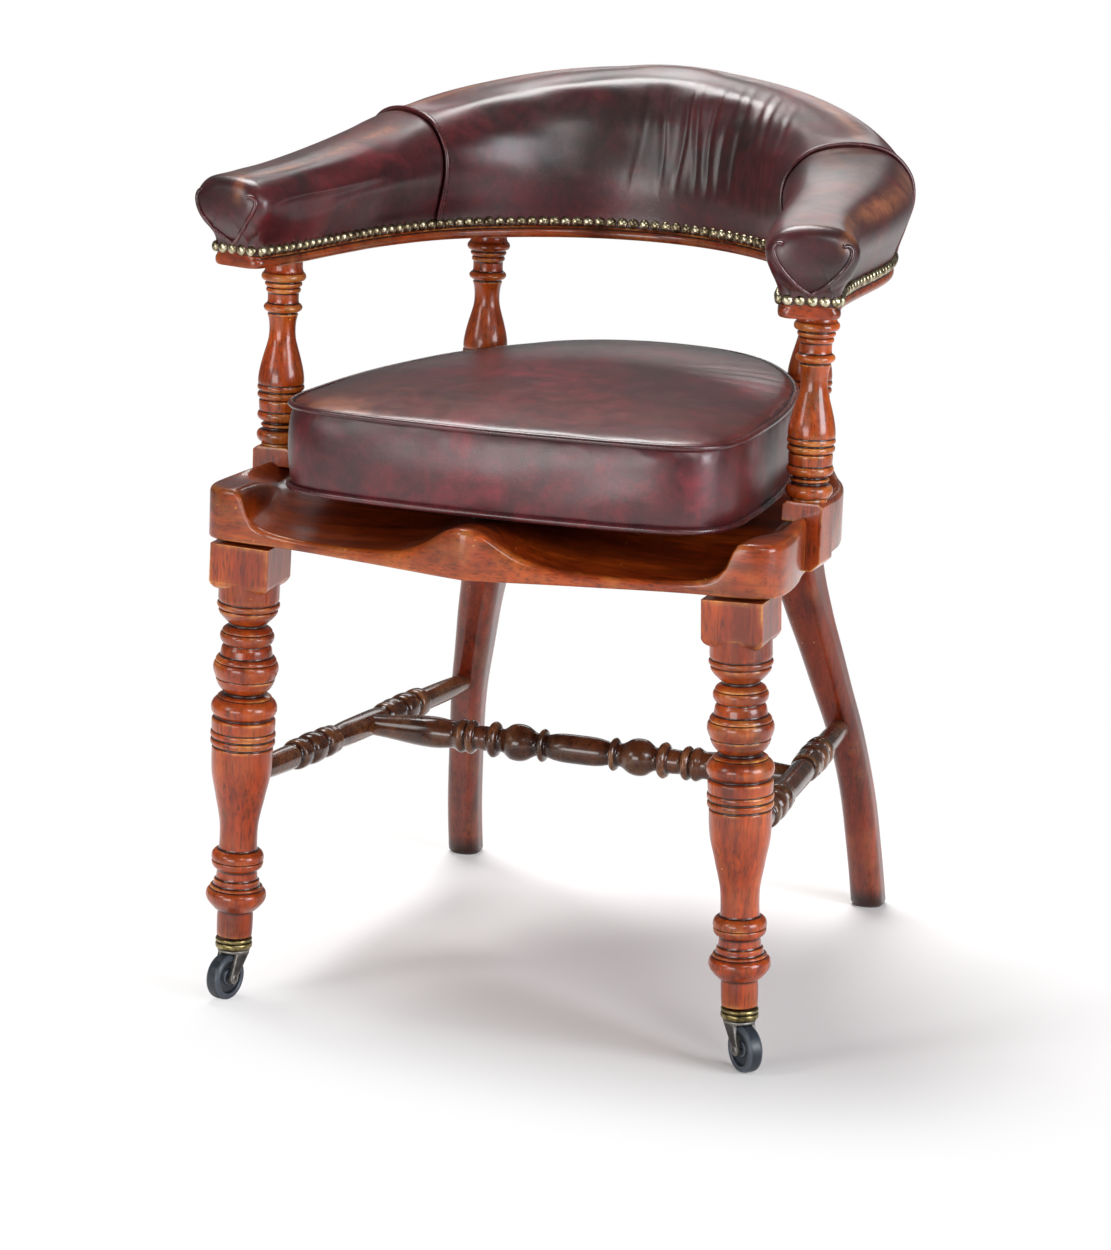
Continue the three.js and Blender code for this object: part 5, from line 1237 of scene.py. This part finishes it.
def brass(name, bright, dull, dark, scale):
    """Antiqued brass: bright on the dome, brown lacquer clouding it and black in the recesses."""
    finish, tree, where = new_finish(name)
    fleck = noised(tree, where, scale * 6, 3, 0.6)
    tone = ramp(tree, noised(tree, where, scale, 4, 0.6), (0.36, dark), (0.5, dull), (0.64, bright))
    deep = ramp(tree, marked(tree, "grime_and_shade"), (0.05, 0.0), (0.4, 0.9))
    tone = blended(tree, deep, tone, (0.02, 0.015, 0.01))
    shine = spread(tree, fleck, 0.2, 0.42)
    surface(tree, [(fleck, 0.1, 0.0003)], Base_Color=tone, Metallic=1.0, Roughness=shine)
    return finish


nail_brass = brass("nail_brass", (0.62, 0.56, 0.4), (0.36, 0.3, 0.18), (0.1, 0.075, 0.045), 130)
for number, (side_name, side) in enumerate(SIDES):
    edges = [rail_edges(station) for station in np.linspace(middle_station, on_side(0, side), 300)]
    line = np.array([outer for _, outer in edges] + [inner for inner, _ in edges[::-1]])
    length = run_length(line)
    count = round(length[-1] / nail_pitch)
    at = (np.arange(count) + 0.5) * length[-1] / count
    spots, before, after = (
        np.column_stack([np.interp(at + step, length, line[:, k]) for k in (0, 1)]) for step in (0, -1.5, 1.5)
    )
    run = unit(after - before)
    heads = beads(
        [(x, y, nail_height) for x, y in spots],
        np.column_stack([-run[:, 1] * side, run[:, 0] * side, np.zeros(count)]),
        nail_brass, radius=nail_radius, rise=nail_rise, tilt=nail_tilt, seed=nail_seed + number,
    )
    piece(
        f"brass_nails_{side_name}", heads, LEANING, nail_brass, 60, "chair", "antique_brass",
        f"nail_row_{side_name}",
    )


# Cushion. A loose squab in the same hide: crowned top and underside joined by a boxing strip,
# piped along both seams, a little drawn in where it is sewn.
cushion_half, cushion_front, cushion_back, cushion_drift = 188, 289, 188, 8
cushion_bottom, cushion_boxing, cushion_crown, cushion_hang, cushion_gap = 432, 66, 14, 17.7, 0.6
cushion_draw, cushion_swell, cushion_most, voxel = 3, 1.0, 7.0, 5.0
cord_radius, cord_out, seam_reach, crease_width, crease_end = 2.6, 1.9, 9, 6.5, 188
cushion_shares = [
    (0, -1), (0.32, -0.993), (0.6, -0.978), (0.8, -0.956), (0.91, -0.92), (0.975, -0.86),
    (1, -0.77), (0.998, -0.62), (0.982, -0.42), (0.945, -0.22), (0.895, -0.06), (0.83, 0.16),
    (0.74, 0.38), (0.62, 0.6), (0.48, 0.79), (0.31, 0.93), (0.14, 0.99), (0, 1),
]
under_reaches = (0.06, 0.2, 0.35, 0.5, 0.62, 0.74, 0.84, 0.91, 0.96, 0.985)
crown_reaches = (0.985, 0.96, 0.92, 0.86, 0.79, 0.7, 0.6, 0.5, 0.38, 0.26, 0.14, 0.06)
# direction from the middle, distance where it starts, and depth
squab_creases = [
    (1.75, 70, 1.0), (1.95, 60, 1.3), (2.12, 75, 1.1), (2.3, 65, 1.2), (2.5, 85, 0.8),
    (-2.2, 95, 0.7),
]
cushion_hide = leather(
    "cushion_hide", (0.036, 0.005, 0.006), (0.085, 0.007, 0.01), (0.18, 0.01, 0.02), (0.32, 0.12, 0.055),
)
_, cushion_plan = plan_through(cushion_shares, cushion_half, cushion_front, cushion_back)
cushion_place = LEANING @ Matrix.Translation((cushion_drift, 0, 0))
box_top = cushion_bottom + cushion_boxing


def reach_in(plan, x, y):
    """How far out a place lies, as a share of the way from the seat's middle to an outline."""
    edge = plan - centre
    angle = np.arctan2(edge[:, 0], -edge[:, 1])
    order = np.argsort(angle)
    turn = np.arctan2(x, -(y + seat_middle))
    limit = np.interp(turn, angle[order], np.linalg.norm(edge, axis=1)[order], period=2 * math.pi)
    return np.hypot(x, y + seat_middle) / limit


def under_height(reach, x, y):
    """The underside sags towards the dish and rests on the seat where it meets it."""
    rest = seat_top(x + cushion_drift, y, reach_in(seat_plan, x + cushion_drift, y)) + cushion_gap
    return np.maximum(cushion_bottom - cushion_hang * math.sqrt(1 - reach**2), rest)


def cushion_ring(reach, grown=0, height=None):
    """Outline of the squab at a share of its reach; without a height it lies in the underside."""
    plan = (cushion_plan - centre) * reach
    plan *= (1 + grown / np.linalg.norm(plan, axis=1))[:, None]
    plan += centre
    height = under_height(reach, *plan.T) if height is None else np.full(len(plan), height)
    return np.column_stack([plan, height])


rings = [cushion_ring(reach) for reach in under_reaches]
for share in np.linspace(0, 1, 13):
    swell = math.sin(math.pi * share) ** 0.5 if 0 < share < 1 else 0
    grown = -cushion_draw + (cushion_draw + cushion_swell) * swell
    rings.append(cushion_ring(1, grown, cushion_bottom + cushion_boxing * share))
for reach in crown_reaches:
    rings.append(cushion_ring(reach, -cushion_draw / 2, box_top + cushion_crown * math.sqrt(1 - reach**2.6)))
poles = [(*centre, float(under_height(0, *centre))), (*centre, box_top + cushion_crown)]
source = placed("shell", tidy(solid_of(rings, poles), 0.01))
even = source.modifiers.new("even", "REMESH")
even.mode, even.voxel_size = "VOXEL", voxel
mesh = evaluated(source)
place = rows_of(mesh)
low, high = (smooth(1 - abs(place[:, 2] - seam) / seam_reach) for seam in (cushion_bottom, box_top + 1))
sewn = np.maximum(low, high) * smooth((reach_in(cushion_plan, place[:, 0], place[:, 1]) - 0.93) / 0.04)
held = np.maximum(sewn, smooth((cushion_bottom + 4 - place[:, 2]) / 6))
mesh = tidy(subdivided(stuffed(mesh, held, cushion_most, even=4)))
place, normal = rows_of(mesh), rows_of(mesh, "normal")
top = smooth((normal[:, 2] - 0.6) / 0.3)
boxing = smooth((0.5 - abs(normal[:, 2])) / 0.3)
depth = np.zeros(len(place))
for turn, far, deep in squab_creases:
    start = np.array((math.sin(turn), -math.cos(turn)))
    along = (place[:, :2] - centre) @ start
    off = (place[:, :2] - centre) @ np.array((-start[1], start[0])) + 3 * np.sin(along / 23 + far)
    length = smooth((along - far) / 40) * smooth((crease_end - along) / 30)
    depth += 0.6 * deep * np.exp(-((off / crease_width) ** 2)) * length * top
drape = np.array([noise.noise(Vector((x / 70, y / 70, z / 30))) for x, y, z in place])
pucker = np.array([noise.noise(Vector((x / 16, y / 16, z / 60 + 5))) for x, y, z in place])
depth += boxing * (1.3 * drape + 0.5 * pucker * np.exp(-(((place[:, 2] - box_top + 8) / 7) ** 2)))
depth += top * 0.9 * drape
place -= normal * depth[:, None]
mesh.vertices.foreach_set("co", place.ravel())
front_rub = smooth((-place[:, 1] - 215) / 60) * smooth((-40 - place[:, 0]) / 110)
front_rub = (0.12 + 0.7 * front_rub) * smooth((-place[:, 1] - 120) / 120)
set_float(mesh, "crest", smooth((place[:, 2] - box_top + 3) / 6) * front_rub)
cushion = piece("squab", mesh, cushion_place, cushion_hide, 70, "cushion", "leather", "cushion")
for level_name, height in (("bottom", cushion_bottom), ("top", box_top)):
    path = cushion_ring(1, -cushion_draw + cord_out, height)
    cord(
        f"squab_cord_{level_name}", path, cord_radius, cushion_place, "cushion",
        f"cushion_piping_{level_name}", loop=True,
    )


# Castors. A brass ferrule on each front foot, below it a forged iron fork that swivels, and a
# solid blue-black wheel of 38 mm riveted between its arms.
wheel_radius, wheel_width, castor_trail, ring_bottom = 19, 13, 11, 42
arm_top, arm_shoulder, arm_half, arm_end, arm_depth, arm_gap = 40.0, 37.0, 8.3, 5.0, 2.8, 0.8
castor_turns = {-1: math.radians(-14.5), 1: math.radians(47.5)}
ferrule_profile = [
    (0.2, 12.6), (0.2, 14.2), (0.7, 14.9), (1.9, 15.3), (3.6, 15.3), (4.8, 14.9), (5.3, 14.2),
    (5.7, 14.3), (6.3, 14.9), (7.4, 15.2), (8.4, 14.9), (9.1, 14.1), (9.2, 13.0),
]
plate_profile = [
    (38.5, 6), (38.5, 11.6), (39, 12.9), (40, 13.4), (41, 13.2), (41.5, 12.4), (41.5, 6),
]
stem_profile = [(40, 4), (60, 4)]
# from the middle of the rim to the hub
wheel_half = [
    (0, 19), (3.2, 18.95), (4.9, 18.5), (6.1, 17.2), (6.4, 15.8), (6.2, 14.6), (5.4, 13.7), (3.3, 12.9),
    (2.9, 11.4), (2.9, 8.2), (3.1, 6.7), (4.2, 6.2), (4.5, 5.2), (4.6, 3.4), (4.4, 2.6),
]
rivet_profile = [
    (-11.2, 1.0), (-11.1, 1.9), (-10.7, 2.9), (-10.2, 3.5), (-9.9, 3.5), (-9.8, 2.0), (9.8, 2.0),
    (9.9, 3.5), (10.2, 3.5), (10.7, 2.9), (11.1, 1.9), (11.2, 1.0),
]


def dark_metal(name, base, rust, shine, scratch, metallic):
    """Dark metal: worn patches, a little rust, fine scratches."""
    finish, tree, where = new_finish(name)
    cloud = noised(tree, where, 70, 5, 0.65)
    fleck = noised(tree, where, 420, 4, 0.6)
    tone = ramp(tree, cloud, (0.4, base), (0.62, tuple(min(1, c * 1.9) for c in base)))
    tone = blended(tree, ramp(tree, fleck, (0.58, 0.0), (0.72, 0.6)), tone, rust)
    tone = blended(tree, ramp(tree, marked(tree, "rubbed"), (0.2, 0.0), (0.8, 0.8)), tone, scratch)
    gloss = spread(tree, cloud, shine - 0.1, shine + 0.12)
    surface(tree, [(fleck, 0.25, 0.0003)], Base_Color=tone, Metallic=metallic, Roughness=gloss)
    return finish


ferrule_brass = brass("ferrule_brass", (0.42, 0.35, 0.17), (0.24, 0.19, 0.08), (0.09, 0.07, 0.03), 90)
fork_iron = dark_metal("fork_iron", (0.05, 0.048, 0.046), (0.09, 0.05, 0.03), 0.42, (0.3, 0.28, 0.25), 0.85)
wheel_black = dark_metal(
    "wheel_black", (0.012, 0.016, 0.022), (0.05, 0.06, 0.075), 0.38, (0.12, 0.14, 0.17), 0.0,
)


def fork_arm(side):
    """Flat arm that trails from the crown plate to a round end at the axle."""
    outline = [(arm_half, arm_top), (arm_half, arm_shoulder)]
    for turn in np.linspace(math.radians(10), math.radians(-170), 13):
        outline.append((-castor_trail + arm_end * math.cos(turn), wheel_radius + arm_end * math.sin(turn)))
    outline += [(-arm_half, arm_shoulder), (-arm_half, arm_top)]
    arm = gridded(squared(outline, arm_depth, 0.6, 2))
    out = side * (wheel_width / 2 + arm_gap + arm_depth / 2)
    arm.transform(Matrix.Translation((out, 0, 0)) @ Matrix.Rotation(math.pi / 2, 4, "Z"))
    return arm


for side_name, side in SIDES:
    foot = ring_bottom * math.tan(leg_splay)
    stand = STANDING @ Matrix.Translation((side * (leg_span - foot), -leg_front, 0))
    stand = stand @ Matrix.Rotation(castor_turns[side], 4, "Z")
    axle = stand @ Matrix.Translation((0, -castor_trail, wheel_radius)) @ Matrix.Rotation(math.pi / 2, 4, "Y")
    ferrule = turned([(ring_bottom + z, r) for z, r in ferrule_profile], ferrule_brass, 56)
    piece(
        f"ferrule_{side_name}", ferrule, stand, ferrule_brass, 55, "chair", "old_brass",
        f"castor_ring_{side_name}",
    )
    plate, stem = turned(plate_profile, fork_iron, 56), turned(stem_profile, fork_iron, 24)
    fork = joined(plate, stem, fork_arm(-1), fork_arm(1))
    piece(
        f"fork_{side_name}", fork, stand, fork_iron, 45, f"castor_{side_name}", "dark_iron",
        f"castor_horn_{side_name}",
    )
    rivet = turned(rivet_profile, fork_iron, 28)
    piece(
        f"rivet_{side_name}", rivet, axle, fork_iron, 50, f"castor_{side_name}", "dark_iron",
        f"castor_rivet_{side_name}",
    )
    piece(
        f"wheel_disc_{side_name}", turned(doubled(wheel_half), wheel_black), axle, wheel_black, 60,
        f"wheel_{side_name}", "wheel_black", f"castor_wheel_{side_name}",
    )
